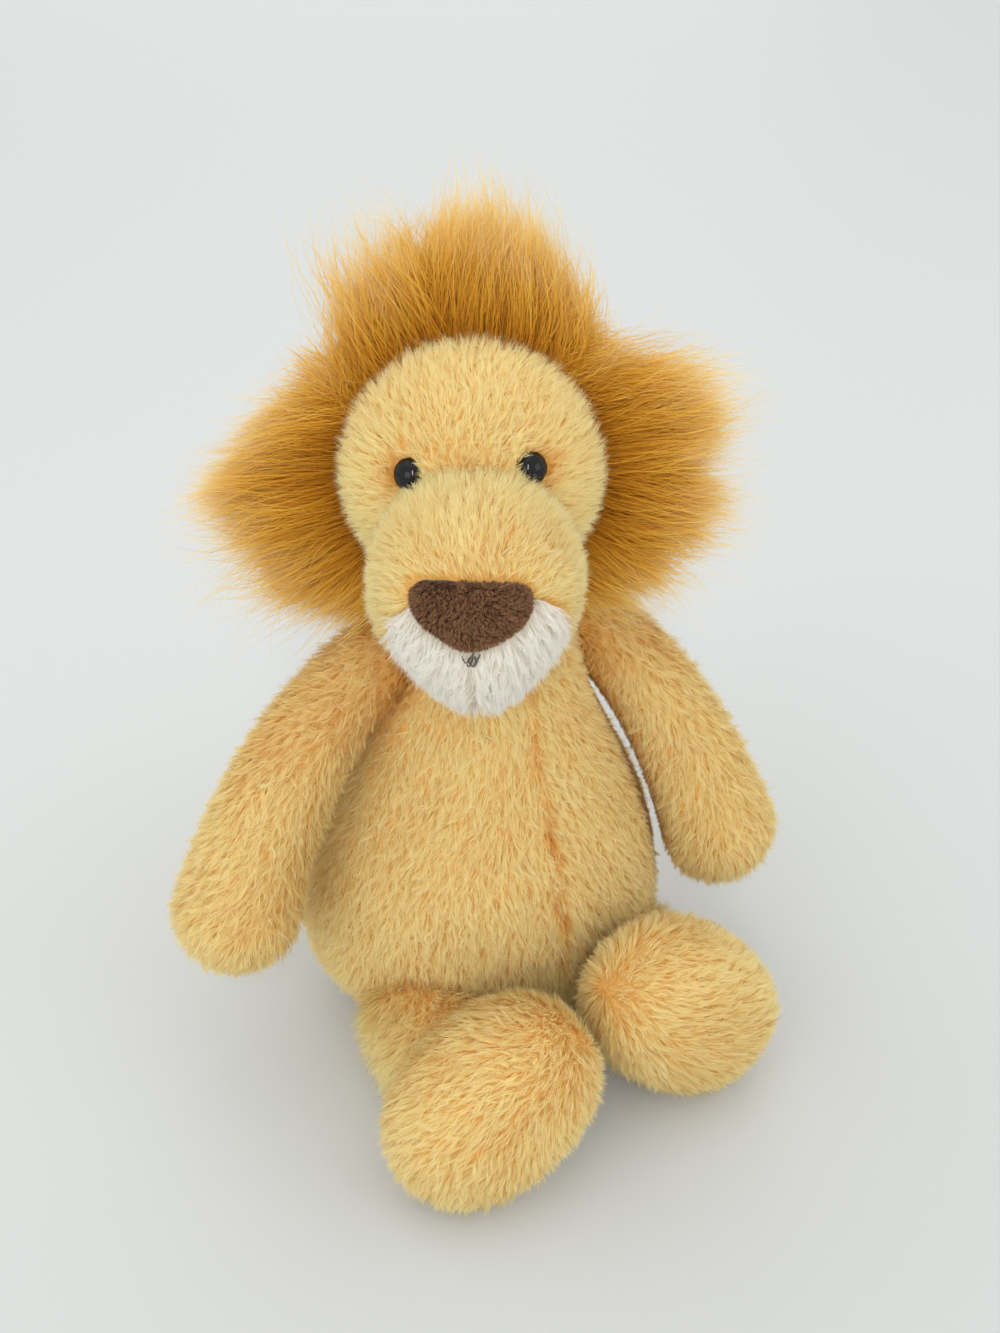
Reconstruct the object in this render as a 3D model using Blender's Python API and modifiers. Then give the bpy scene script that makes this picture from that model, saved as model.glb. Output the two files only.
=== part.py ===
"""A seated plush lion with a long mane: its sewn covers, its stuffing, its eyes and the limbs that swing.

Metres, +Z up. The lion sits on the floor at Z = 0 with the middle of its seat at the origin and its
chest towards -Y. Its left side is at +X. The head is turned and tilted on the neck, as it rests.
"""

import math

import bmesh
import bpy
from mathutils import Matrix, Vector

# Fits between neighbouring pieces
GAP = 0.0003
TURNING_GAP = 0.0006
STUFFING_GAP = 0.0009
FLOOR_CUT = 0.0005
OVERRUN = 0.006

# Torso: a pear with a round dome at the neck
NECK_HEIGHT = 0.142
NECK_RADIUS = 0.025
NECK_OPENING_RADIUS = 0.010
BELLY_HEIGHT = 0.038
BELLY_HALF_WIDTH = 0.0540
BELLY_HALF_DEPTH = 0.0470
TORSO_SLIMNESS = 1.2
SEAT_FULLNESS = 2.8
TORSO_WALL = 0.0035
BEAN_POUCH_HEIGHT = 0.026
NECK_WAD_LENGTH = 0.012

# Head: a ball that sits on the dome, turned, tilted back and rolled a little
HEAD_RADIUS = 0.0335
HEAD_FORWARD = 0.003
HEAD_ASIDE = -0.0021
HEAD_ABOVE_NECK = 0.0350
HEAD_TURN_DEG = -24.0
HEAD_TILT_DEG = 12.0
HEAD_ROLL_DEG = 3.0
HEAD_WALL = 0.003

# Muzzle: a drooping snout in front of the head, with a chin panel below
MUZZLE_HALF_WIDTH = 0.0258
MUZZLE_HALF_LENGTH = 0.0330
MUZZLE_HALF_HEIGHT = 0.0285
MUZZLE_FORWARD = 0.0318
MUZZLE_DROP = 0.0237
MUZZLE_WALL = 0.003
# The muzzle narrows towards the chin, from this height share down
MUZZLE_TAPER_START = 0.3
MUZZLE_TAPER_SHARE = 0.40
MUZZLE_TAPER_POWER = 1.8
CHIN_CLEARANCE = 0.004
CHIN_SEAM_SLOPE_DEG = 46.0
CHIN_SEAM_FORWARD = 0.0138

# Nose patch and the stitch of the mouth
NOSE_HALF_WIDTH = 0.0149
NOSE_TOP = 0.0074
NOSE_BOTTOM = 0.0088
NOSE_RISE = 0.0022
NOSE_ASIDE = 0.0012
NOSE_PITCH_DEG = 9.0
NOSE_ROLL_DEG = -5.0
NOSE_ROUNDNESS = 5.0
NOSE_SLOPE_DEG = 27.0
MOUTH_LENGTH = 0.0040
MOUTH_RADIUS = 0.0007
MOUTH_BELOW_NOSE = 0.0022
MOUTH_ASIDE = 0.0013

# Eyes: glossy beads on shanks that washers hold inside the head
EYE_RADIUS = 0.0043
EYE_DOME = 0.0036
EYE_SINK = 0.0014
EYE_SIDE_DEG = 27.8
EYE_RISE_DEG = 9.5
EYE_SHANK_RADIUS = 0.0013
EYE_SHANK_LENGTH = 0.0066
WASHER_RADIUS = 0.0045
WASHER_THICKNESS = 0.0012
WASHER_DEPTH = 0.0038

# Mane: long pile round the face and over the back of the head
MANE_REACH = 0.0655
MANE_BACK = 0.0520
MANE_HAIRLINE_DEG = 84.0
MANE_RIM_DEG = 93.0
MANE_UNDERSIDE = 0.0015
MANE_FRONT_RISE_DEG = 10.0
MANE_BACK_RISE_DEG = 27.0
# Round the face from the crown towards the lion's left: the angle in degrees, and a share of MANE_REACH
MANE_OUTLINE_SHARES = (
    (0, 0.97), (8, 0.99), (16, 0.93), (24, 0.84), (32, 0.80), (40, 0.80), (48, 0.73), (56, 0.70), (64, 0.77),
    (72, 0.96), (80, 1.05), (88, 1.03), (96, 1.02), (104, 1.06), (112, 1.02), (120, 0.96), (128, 0.94),
    (150, 0.70), (180, 0.56), (210, 0.70), (228, 0.94), (236, 1.05), (244, 1.04), (252, 1.05), (260, 1.17),
    (268, 1.10), (276, 0.95), (284, 0.84), (292, 0.83), (300, 0.86), (308, 0.72), (316, 0.68), (324, 0.84),
    (332, 0.91), (340, 0.89), (348, 0.95), (360, 0.97),
)

# Arms: slim at the shoulder, full at the paw, hanging a little forward
SHOULDER_DROP = 0.017
SHOULDER_SLOPE_DEG = 10.0
SHOULDER_SEAT_DEPTH = 0.0012
SHOULDER_SEAT_RADIUS = 0.0120
SHOULDER_CLEARANCE = 0.0006
SHOULDER_DISH_RADIUS = 0.115
ARM_ROOT_RADIUS = 0.0105
ARM_PAW_RADIUS = 0.0162
ARM_WALL = 0.003
ARM_SWELL = 1.6
# How far the bow and the tip of each arm lie outside, in front of and below its shoulder
ARM_BOW = {"left": (0.0350, 0.0080, 0.0260), "right": (0.0420, 0.0030, 0.0205)}
ARM_TIP = {"left": (0.0452, 0.0330, 0.0915), "right": (0.0610, 0.0150, 0.0850)}

# Legs: short tubes that lie forward from ball ends in the seat
LEG_HALF_SPACING = 0.0315
HIP_FORWARD = 0.0340
LEG_RADIUS = 0.0165
# How far each foot stands in front of its hip
LEG_REACH = {"left": 0.0350, "right": 0.0450}
LEG_WALL = 0.003
LEG_OPENING_RADIUS = 0.0090

# Feet: upright pads, toes turned in
FOOT_HALF_WIDTH = 0.0230
FOOT_HALF_DEPTH = 0.0192
FOOT_HALF_LENGTH = 0.0304
FOOT_TOE_IN_DEG = {"left": 45.0, "right": 55.0}
FOOT_LEAN_DEG = {"left": -2.0, "right": 7.0}
FOOT_FULLNESS = 2.3
FOOT_WALL = 0.003

# Tail: a cord of plush that lies behind, with a tuft
TAIL_RADIUS = 0.0055
TAIL_HEIGHT = 0.0115
TAIL_STAND_OFF_SHARE = 1.23
TAIL_LENGTH = 0.0620
TAIL_HEADING_DEG = 10.0
TAIL_CURL_DEG = 70.0
TUFT_RADIUS = 0.0120
TUFT_LENGTH = 0.0360
TUFT_POINT_SHARE = 0.62

# Facets of each form, and the shares of them that its ends take
TORSO_SIDES = 24
TORSO_RINGS = 18
TORSO_DOME_SHARE = 0.20
TORSO_SEAT_SHARE = 0.30
STUFFING_SIDES = 18
HEAD_SIDES = 20
HEAD_RINGS = 14
MUZZLE_SIDES = 20
MUZZLE_RINGS = 12
MANE_SIDES = 40
MANE_RINGS = 16
MANE_FACE_SHARE = 0.25
MANE_FLARE_SHARE = 0.375
LIMB_SIDES = 14
LIMB_RINGS = 13
LIMB_ROOT_SHARE = 0.15
LIMB_TIP_SHARE = 0.25
FOOT_SIDES = 18
FOOT_RINGS = 10
TURNED_STEPS = 20
SMALL_STEPS = 12
SOCKET_SIDES = 24
SOCKET_RINGS = 16
ARC_STEPS = 5
DISH_STEPS = 12

SIDES = {"left": 1, "right": -1}
NECK = Vector((0, 0, NECK_HEIGHT))
HIP_HEIGHT = LEG_RADIUS - FLOOR_CUT
BIG = BELLY_HALF_WIDTH * 2


def clear_scene():
    for item in list(bpy.data.objects):
        bpy.data.objects.remove(item, do_unlink=True)


def new_collection(name):
    collection = bpy.data.collections.new(name)
    bpy.context.scene.collection.children.link(collection)
    return collection


def new_material(name, colour, roughness=0.95):
    material = bpy.data.materials.new(name)
    material.use_nodes = True
    shader = material.node_tree.nodes["Principled BSDF"]
    shader.inputs["Base Color"].default_value = (*colour, 1)
    shader.inputs["Roughness"].default_value = roughness
    shader.inputs["Metallic"].default_value = 0
    return material


def rotation(axis, degrees):
    return Matrix.Rotation(math.radians(degrees), 4, axis)


def frame_along(axis, at):
    """A placing at AT whose +Z runs along AXIS."""
    return Matrix.Translation(at) @ axis.to_track_quat("Z", "Y").to_matrix().to_4x4()


def ball(sides, rings, shape):
    """A sphere whose points SHAPE moves, given each point's direction."""
    mesh = bmesh.new()
    bmesh.ops.create_uvsphere(mesh, u_segments=sides, v_segments=rings, radius=1)
    for point in mesh.verts:
        point.co = shape(point.co.normalized())
    if mesh.calc_volume(signed=True) < 0:
        bmesh.ops.reverse_faces(mesh, faces=mesh.faces)
    return mesh


def box(low, high):
    mesh = bmesh.new()
    bmesh.ops.create_cube(mesh, size=1)
    middle = (Vector(low) + Vector(high)) / 2
    for point in mesh.verts:
        sides = Vector(high) - Vector(low)
        point.co = middle + Vector(side * share for side, share in zip(sides, point.co))
    return mesh


def cylinder(radius, low, high, sides=SOCKET_SIDES):
    """A cylinder round +Z from the height LOW to HIGH."""
    mesh = bmesh.new()
    bmesh.ops.create_cone(
        mesh, cap_ends=True, segments=sides, radius1=radius, radius2=radius, depth=high - low
    )
    bmesh.ops.translate(mesh, verts=mesh.verts, vec=(0, 0, (low + high) / 2))
    return mesh


def resized(mesh, inset):
    """The same form with its surface moved in by INSET, or out where that is negative."""
    mesh.normal_update()
    moved = [point.co - point.normal * inset for point in mesh.verts]
    for point, place in zip(mesh.verts, moved):
        point.co = place
    return mesh


def as_object(mesh, name, place=None):
    """Makes an object of a bmesh, shaded smooth, at PLACE."""
    data = bpy.data.meshes.new(name)
    mesh.to_mesh(data)
    mesh.free()
    data.shade_smooth()
    data.set_sharp_from_angle(angle=math.radians(50))
    made = bpy.data.objects.new(name, data)
    if place is not None:
        made.matrix_world = place
    return made


def turned(profile, name, place, steps=TURNED_STEPS, closed=False):
    """A shape turned round +Z from PROFILE, which runs down its outer side from top to bottom."""
    data = bpy.data.meshes.new(name)
    count = len(profile)
    edges = [(i, i + 1) for i in range(count - 1)]
    if closed:
        edges.append((count - 1, 0))
    data.from_pydata([(radius, 0, height) for radius, height in profile], edges, [])
    made = bpy.data.objects.new(name, data)
    made.matrix_world = place
    screw = made.modifiers.new("turn", "SCREW")
    screw.steps = steps
    screw.render_steps = steps
    screw.use_merge_vertices = True
    screw.merge_threshold = 0.00002
    screw.use_smooth_shade = True
    return made


def thicken(item, wall):
    """Leaves a cover WALL thick of a closed form. Another piece's cut opens it."""
    solidify = item.modifiers.new("wall", "SOLIDIFY")
    solidify.thickness = wall
    solidify.offset = -1
    solidify.use_even_offset = True


def cut(item, *others, operation="DIFFERENCE"):
    for other in others:
        modifier = item.modifiers.new(other.name, "BOOLEAN")
        modifier.operation = operation
        modifier.object = other
        modifier.solver = "EXACT"


class Bench:
    """Where pieces, cutters and joint empties are put."""

    def __init__(self):
        self.pieces = new_collection("plush_lion")
        self.cutters = new_collection("cutters")
        self.materials = {}

    def material(self, name):
        if name not in self.materials:
            self.materials[name] = new_material(name, *MATERIALS[name])
        return self.materials[name]

    def piece(self, item, material, joint=None):
        self.pieces.objects.link(item)
        item.data.materials.append(self.material(material))
        if joint is not None:
            item.parent = joint
            item.matrix_parent_inverse = joint.matrix_world.inverted()
        return item

    def cutter(self, item):
        self.cutters.objects.link(item)
        item.hide_render = True
        item.display_type = "WIRE"
        return item

    def joint(self, name, place, carried_by=None):
        """An empty on a joint's axis."""
        made = bpy.data.objects.new(name, None)
        self.pieces.objects.link(made)
        made.matrix_world = place
        made.empty_display_size = NECK_RADIUS
        if carried_by is not None:
            made.parent = carried_by
            made.matrix_parent_inverse = carried_by.matrix_world.inverted()
        bpy.context.view_layer.update()
        return made


MATERIALS = {
    "body_plush": ((0.70, 0.46, 0.16),),
    "mane_pile": ((0.52, 0.25, 0.035),),
    "chin_plush": ((0.80, 0.77, 0.70),),
    "nose_velour": ((0.10, 0.05, 0.025),),
    "eye_plastic": ((0.005, 0.005, 0.006), 0.08),
    "washer_plastic": ((0.75, 0.75, 0.72), 0.5),
    "stitch_thread": ((0.03, 0.02, 0.015), 0.7),
    "polyester_fibre": ((0.85, 0.85, 0.83),),
    "pouch_cotton": ((0.72, 0.68, 0.58), 0.9),
}


def torso_section(share):
    """Height, half width and half depth of the torso, from the dome's top (0) to the seat (1)."""
    if share < TORSO_DOME_SHARE:
        angle = share / TORSO_DOME_SHARE * math.pi / 2
        girth = NECK_RADIUS * math.sin(angle)
        return NECK_HEIGHT + NECK_RADIUS * math.cos(angle), girth, girth
    if share > 1 - TORSO_SEAT_SHARE:
        angle = (share - 1 + TORSO_SEAT_SHARE) / TORSO_SEAT_SHARE * math.pi / 2
        girth_share = max(math.cos(angle), 0) ** (2 / SEAT_FULLNESS)
        drop = (BELLY_HEIGHT + FLOOR_CUT) * math.sin(angle) ** (2 / SEAT_FULLNESS)
        return BELLY_HEIGHT - drop, BELLY_HALF_WIDTH * girth_share, BELLY_HALF_DEPTH * girth_share
    body_share = 1 - TORSO_DOME_SHARE - TORSO_SEAT_SHARE
    down = (share - TORSO_DOME_SHARE) / body_share
    swell = (1 - math.cos(math.pi * down**TORSO_SLIMNESS)) / 2
    height = NECK_HEIGHT + (BELLY_HEIGHT - NECK_HEIGHT) * down
    half_width = NECK_RADIUS + (BELLY_HALF_WIDTH - NECK_RADIUS) * swell
    half_depth = NECK_RADIUS + (BELLY_HALF_DEPTH - NECK_RADIUS) * swell
    return height, half_width, half_depth


def torso_girth_at(height):
    """Half width and half depth of the torso at a height between the seat and the neck."""
    low, high = TORSO_DOME_SHARE, 1.0
    for _ in range(40):
        middle = (low + high) / 2
        if torso_section(middle)[0] > height:
            low = middle
        else:
            high = middle
    return torso_section(high)[1:]


def torso_point(direction):
    share = math.acos(max(-1, min(1, direction.z))) / math.pi
    height, half_width, half_depth = torso_section(share)
    around = math.atan2(direction.y, direction.x)
    return Vector((half_width * math.cos(around), half_depth * math.sin(around), height))


def limb_point(direction, spine, girth, root_radius, tip_radius, length):
    """A limb along SPINE with round ends. SPINE and GIRTH take a share from the root to the tip's ball."""
    share = math.acos(max(-1, min(1, direction.z))) / math.pi
    reach = 1 - tip_radius / length
    if share < LIMB_ROOT_SHARE:
        angle = share / LIMB_ROOT_SHARE * math.pi / 2
        at, along = 0, -root_radius * math.cos(angle)
        radius = root_radius * math.sin(angle)
    elif share > 1 - LIMB_TIP_SHARE:
        angle = (share - 1 + LIMB_TIP_SHARE) / LIMB_TIP_SHARE * math.pi / 2
        at, along = reach, tip_radius * math.sin(angle)
        radius = tip_radius * max(math.cos(angle), 0)
    else:
        at = reach * (share - LIMB_ROOT_SHARE) / (1 - LIMB_ROOT_SHARE - LIMB_TIP_SHARE)
        along = 0
        radius = girth(at / reach)
    step = 0.001
    heading = (spine(at + step) - spine(at - step)).normalized()
    side = heading.orthogonal() if abs(heading.y) > abs(heading.z) else heading.cross(Vector((0, 1, 0)))
    side = heading.cross(Vector((0, 0, 1))) if abs(heading.y) > abs(heading.z) else side
    side.normalize()
    other = heading.cross(side)
    around = math.atan2(direction.y, direction.x)
    offset = side * (radius * math.cos(around)) + other * (radius * math.sin(around))
    return spine(at) + heading * along + offset


def make_torso(bench, sweeps, shoulder_cutters):
    """The cover, the stuffing and the bean pouch of the seat."""
    floor = bench.cutter(as_object(box((-BIG, -BIG, -OVERRUN), (BIG, BIG, 0)), "floor_cutter"))
    wad_bottom = NECK_HEIGHT + NECK_RADIUS - NECK_WAD_LENGTH
    opening_low = wad_bottom - GAP
    opening = bench.cutter(
        as_object(
            cylinder(NECK_OPENING_RADIUS, opening_low, NECK_HEIGHT + NECK_RADIUS + OVERRUN),
            "neck_opening_cutter",
        )
    )
    cover = as_object(ball(TORSO_SIDES, TORSO_RINGS, torso_point), "torso_cover")
    bench.piece(cover, "body_plush")
    thicken(cover, TORSO_WALL)
    cut(cover, floor, *shoulder_cutters, *sweeps, opening)

    inset = TORSO_WALL + STUFFING_GAP
    level = BEAN_POUCH_HEIGHT + GAP / 2
    below = bench.cutter(as_object(box((-BIG, -BIG, -BIG), (BIG, BIG, level + GAP / 2)), "pouch_top_cutter"))
    above = bench.cutter(
        as_object(box((-BIG, -BIG, level - GAP / 2), (BIG, BIG, NECK_HEIGHT + BIG)), "stuffing_cutter")
    )
    form = resized(ball(STUFFING_SIDES, TORSO_RINGS, torso_point), inset)
    stuffing = bench.piece(as_object(form, "torso_stuffing"), "polyester_fibre")
    cut(stuffing, below, opening, *sweeps)
    form = resized(ball(STUFFING_SIDES, TORSO_RINGS, torso_point), inset)
    pouch = bench.piece(as_object(form, "bean_pouch"), "pouch_cotton")
    cut(pouch, above, *sweeps)
    return floor


def make_neck_wad(bench, joint):
    """The firm wad of stuffing through the neck opening, round-topped so that the head rolls on it."""
    radius = NECK_OPENING_RADIUS - TURNING_GAP
    spread = math.asin(radius / NECK_RADIUS)
    top = [
        (NECK_RADIUS * math.sin(spread * i / ARC_STEPS), NECK_RADIUS * math.cos(spread * i / ARC_STEPS))
        for i in range(ARC_STEPS + 1)
    ]
    bottom = NECK_RADIUS - NECK_WAD_LENGTH
    profile = [*top, (radius, bottom), (0, bottom)]
    wad = turned(profile, "neck_stuffing", Matrix.Translation(NECK))
    bench.piece(wad, "polyester_fibre", joint)


def head_frames():
    """The head's middle before and after it is tilted and rolled. It faces -Y of either frame."""
    level = Matrix.Translation(NECK) @ rotation("Z", HEAD_TURN_DEG)
    level = level @ Matrix.Translation((HEAD_ASIDE, -HEAD_FORWARD, HEAD_ABOVE_NECK))
    return level, level @ rotation("X", -HEAD_TILT_DEG) @ rotation("Y", -HEAD_ROLL_DEG)


def head_ball(inset):
    return ball(HEAD_SIDES, HEAD_RINGS, lambda direction: direction * (HEAD_RADIUS - inset))


def muzzle_point(direction):
    down = max(0, MUZZLE_TAPER_START - direction.z) / (1 + MUZZLE_TAPER_START)
    width = MUZZLE_HALF_WIDTH * (1 - MUZZLE_TAPER_SHARE * down**MUZZLE_TAPER_POWER)
    return Vector(
        (
            width * direction.x,
            MUZZLE_HALF_LENGTH * direction.y - MUZZLE_FORWARD,
            MUZZLE_HALF_HEIGHT * direction.z - MUZZLE_DROP,
        )
    )


def muzzle_ball(inset):
    return resized(ball(MUZZLE_SIDES, MUZZLE_RINGS, muzzle_point), inset)


def eye_placing(head, side):
    """A placing on the head's surface whose +Z looks out along the eye."""
    turn, rise = math.radians(EYE_SIDE_DEG), math.radians(EYE_RISE_DEG)
    look = Vector((side * math.sin(turn) * math.cos(rise), -math.cos(turn) * math.cos(rise), math.sin(rise)))
    return head @ frame_along(look, look * (HEAD_RADIUS - EYE_SINK))


def make_eye(bench, head, joint, name, side):
    """A bead, its shank and its washer. Returns the cutter of their pocket in the head."""
    place = eye_placing(head, side)
    dome = [
        (EYE_RADIUS * math.sin(math.pi / 2 * i / ARC_STEPS), EYE_DOME * math.cos(math.pi / 2 * i / ARC_STEPS))
        for i in range(ARC_STEPS + 1)
    ]
    back = -GAP
    profile = [
        *dome,
        (EYE_RADIUS, back),
        (EYE_SHANK_RADIUS, back),
        (EYE_SHANK_RADIUS, -EYE_SHANK_LENGTH),
        (0, -EYE_SHANK_LENGTH),
    ]
    eye = turned(profile, f"eye_{name}", place, SMALL_STEPS)
    bench.piece(eye, "eye_plastic", joint)

    bore = EYE_SHANK_RADIUS + GAP
    top, bottom = -WASHER_DEPTH, -WASHER_DEPTH - WASHER_THICKNESS
    ring = [(WASHER_RADIUS, top), (WASHER_RADIUS, bottom), (bore, bottom), (bore, top)]
    washer = turned(ring, f"eye_washer_{name}", place, SMALL_STEPS, closed=True)
    bench.piece(washer, "washer_plastic", joint)

    room, pocket = EYE_RADIUS + GAP, WASHER_RADIUS + GAP
    profile = [
        (0, OVERRUN),
        (room, OVERRUN),
        (room, back - GAP),
        (bore, back - GAP),
        (bore, top + GAP),
        (pocket, top + GAP),
        (pocket, bottom - GAP),
        (bore, bottom - GAP),
        (bore, -EYE_SHANK_LENGTH - GAP),
        (0, -EYE_SHANK_LENGTH - GAP),
    ]
    return bench.cutter(turned(profile, f"eye_{name}_cutter", place, SMALL_STEPS))


def make_head(bench, joint):
    """The head's cover and stuffing, the muzzle, the chin, the nose, the mouth and the eyes."""
    level, head = head_frames()
    socket_radius = NECK_RADIUS + TURNING_GAP
    socket = bench.cutter(
        as_object(
            ball(SOCKET_SIDES, SOCKET_RINGS, lambda direction: direction * socket_radius),
            "neck_socket_cutter",
            Matrix.Translation(NECK),
        )
    )
    column = bench.cutter(
        as_object(
            cylinder(NECK_RADIUS + CHIN_CLEARANCE, -NECK_RADIUS * 2, 0),
            "chin_clearance_cutter",
            Matrix.Translation(NECK),
        )
    )
    eyes = [make_eye(bench, head, joint, name, side) for name, side in SIDES.items()]

    cover = bench.piece(as_object(head_ball(0), "head_cover", head), "body_plush", joint)
    thicken(cover, HEAD_WALL)
    cut(cover, socket, *eyes)
    inset = HEAD_WALL + STUFFING_GAP
    stuffing = bench.piece(as_object(head_ball(inset), "head_stuffing", head), "polyester_fibre", joint)
    cut(stuffing, socket, *eyes)

    head_room = bench.cutter(as_object(head_ball(-GAP), "head_room_cutter", head))
    seam = Matrix.Translation((0, -MUZZLE_FORWARD, -MUZZLE_DROP)) @ rotation("X", CHIN_SEAM_SLOPE_DEG)
    seam = head @ seam
    lower_box = box((-BIG, -BIG, -BIG), (BIG, -CHIN_SEAM_FORWARD + GAP / 2, BIG))
    upper_box = box((-BIG, -CHIN_SEAM_FORWARD - GAP / 2, -BIG), (BIG, BIG, BIG))
    chin_side = bench.cutter(as_object(lower_box, "muzzle_seam_cutter", seam))
    top_side = bench.cutter(as_object(upper_box, "chin_seam_cutter", seam))

    muzzle = bench.piece(as_object(muzzle_ball(0), "muzzle_cover", head), "body_plush", joint)
    thicken(muzzle, MUZZLE_WALL)
    cut(muzzle, head_room, socket, column, chin_side)
    chin = bench.piece(as_object(muzzle_ball(0), "chin_cover", head), "chin_plush", joint)
    thicken(chin, MUZZLE_WALL)
    cut(chin, head_room, socket, column, top_side)
    inset = MUZZLE_WALL + STUFFING_GAP
    filling = bench.piece(
        as_object(muzzle_ball(inset), "muzzle_stuffing", head), "polyester_fibre", joint
    )
    cut(filling, head_room, socket, column)
    make_nose(bench, head, joint)
    return level, head, head_room, socket


def nose_edge(around):
    """How far the nose's outline lies from its middle: five straight edges, rounded where they meet."""
    slope = math.radians(NOSE_SLOPE_DEG)
    low_distance = NOSE_BOTTOM * math.cos(slope) * 2 ** (1 / NOSE_ROUNDNESS)
    edges = [
        (math.pi / 2, NOSE_TOP),
        (0, NOSE_HALF_WIDTH),
        (math.pi, NOSE_HALF_WIDTH),
        (slope - math.pi / 2, low_distance),
        (-slope - math.pi / 2, low_distance),
    ]
    total = sum(max(0, math.cos(around - facing) / distance) ** NOSE_ROUNDNESS for facing, distance in edges)
    return total ** (-1 / NOSE_ROUNDNESS)


def make_nose(bench, head, joint):
    """The velour nose, a rounded triangle that follows the muzzle, and the stitch under it."""
    middle = Vector((-NOSE_ASIDE, -MUZZLE_FORWARD, -MUZZLE_DROP))
    look = rotation("X", NOSE_PITCH_DEG * -1) @ Vector((0, -1, 0))
    upright = Matrix.Translation(middle) @ look.to_track_quat("Z", "Y").to_matrix().to_4x4()
    upright = upright @ rotation("Z", NOSE_ROLL_DEG)
    mesh = bmesh.new()
    bmesh.ops.create_cone(
        mesh, cap_ends=True, segments=SOCKET_SIDES, radius1=1, radius2=1, depth=MUZZLE_HALF_LENGTH
    )
    for point in mesh.verts:
        around = math.atan2(point.co.y, point.co.x)
        edge = nose_edge(around)
        height = point.co.z + MUZZLE_HALF_LENGTH
        point.co = (edge * math.cos(around), edge * math.sin(around), height)
    place = head @ upright
    nose = bench.piece(as_object(mesh, "nose_patch", place), "nose_velour", joint)
    raised = bench.cutter(as_object(muzzle_ball(-GAP - NOSE_RISE), "nose_top_cutter", head))
    under = bench.cutter(as_object(muzzle_ball(-GAP), "nose_seat_cutter", head))
    cut(nose, raised, operation="INTERSECT")
    cut(nose, under)

    drop = math.radians(NOSE_PITCH_DEG) - (NOSE_BOTTOM + MOUTH_BELOW_NOSE) / MUZZLE_HALF_LENGTH
    out = Vector((-MOUTH_ASIDE / MUZZLE_HALF_WIDTH, -math.cos(drop), math.sin(drop))).normalized()
    seat = muzzle_point(out)
    normal = Vector((out.x / MUZZLE_HALF_WIDTH, out.y / MUZZLE_HALF_LENGTH, out.z / MUZZLE_HALF_HEIGHT))
    normal.normalize()
    seat += normal * (MOUTH_RADIUS + GAP)
    stitch = ball(
        SMALL_STEPS,
        ARC_STEPS + 1,
        lambda direction: Vector(
            (MOUTH_RADIUS * direction.x, MOUTH_RADIUS * direction.y, MOUTH_LENGTH / 2 * direction.z)
        ),
    )
    across = head @ Matrix.Translation(seat) @ rotation("Y", 90)
    bench.piece(as_object(stitch, "mouth_stitch", across), "stitch_thread", joint)


def mane_share(around_deg):
    """The mane's outline at an angle round the face, smooth between the points of the table."""
    for (start, first), (end, last) in zip(MANE_OUTLINE_SHARES, MANE_OUTLINE_SHARES[1:]):
        if start <= around_deg <= end:
            ease = (1 - math.cos(math.pi * (around_deg - start) / (end - start))) / 2
            return first + (last - first) * ease
    return MANE_OUTLINE_SHARES[0][1]


def mane_point(direction):
    """A hood with a flared rim. The first pole looks out of the face, and the second is the nape."""
    share = math.acos(max(-1, min(1, direction.z))) / math.pi
    around = math.atan2(direction.x, direction.y)
    reach = MANE_REACH * mane_share(math.degrees(around) % 360)
    inside = HEAD_RADIUS - HEAD_WALL
    if share < MANE_FACE_SHARE:
        away = MANE_HAIRLINE_DEG * share / MANE_FACE_SHARE
        radius = inside
    elif share < MANE_FLARE_SHARE:
        part = (share - MANE_FACE_SHARE) / (MANE_FLARE_SHARE - MANE_FACE_SHARE)
        away = MANE_HAIRLINE_DEG + (MANE_RIM_DEG - MANE_HAIRLINE_DEG) * part
        radius = inside + (reach - inside) * part
    else:
        part = (share - MANE_FLARE_SHARE) / (1 - MANE_FLARE_SHARE)
        away = MANE_RIM_DEG + (180 - MANE_RIM_DEG) * part
        radius = reach + (MANE_BACK - reach) * (1 - math.cos(math.pi * part)) / 2
    angle = math.radians(away)
    ring = radius * math.sin(angle)
    return Vector((ring * math.sin(around), -radius * math.cos(angle), ring * math.cos(around)))


def make_mane(bench, level, head, joint, head_room, socket):
    mane = bench.piece(
        as_object(ball(MANE_SIDES, MANE_RINGS, mane_point), "mane", head), "mane_pile", joint
    )
    muzzle_room = bench.cutter(as_object(muzzle_ball(-GAP), "muzzle_room_cutter", head))
    pivot = Matrix.Translation(NECK) @ rotation("Z", HEAD_TURN_DEG)
    under = []
    for name, rise in (("front", -MANE_FRONT_RISE_DEG), ("back", MANE_BACK_RISE_DEG)):
        place = pivot @ Matrix.Translation((0, 0, MANE_UNDERSIDE)) @ rotation("X", rise)
        slab = box((-BIG, -BIG, -BIG), (BIG, BIG, 0))
        under.append(bench.cutter(as_object(slab, f"mane_{name}_underside_cutter", place)))
    cut(mane, head_room, muzzle_room, socket, *under)


def shoulder_placing(side):
    """The middle of the flat seat that an arm is sewn to. +Z points out along the joint's axis."""
    height = NECK_HEIGHT - SHOULDER_DROP
    half_width = torso_girth_at(height)[0]
    slope = math.radians(SHOULDER_SLOPE_DEG)
    axis = Vector((side * math.cos(slope), 0, math.sin(slope)))
    at = Vector((side * half_width, 0, height)) - axis * SHOULDER_SEAT_DEPTH
    return frame_along(axis, at)


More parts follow.
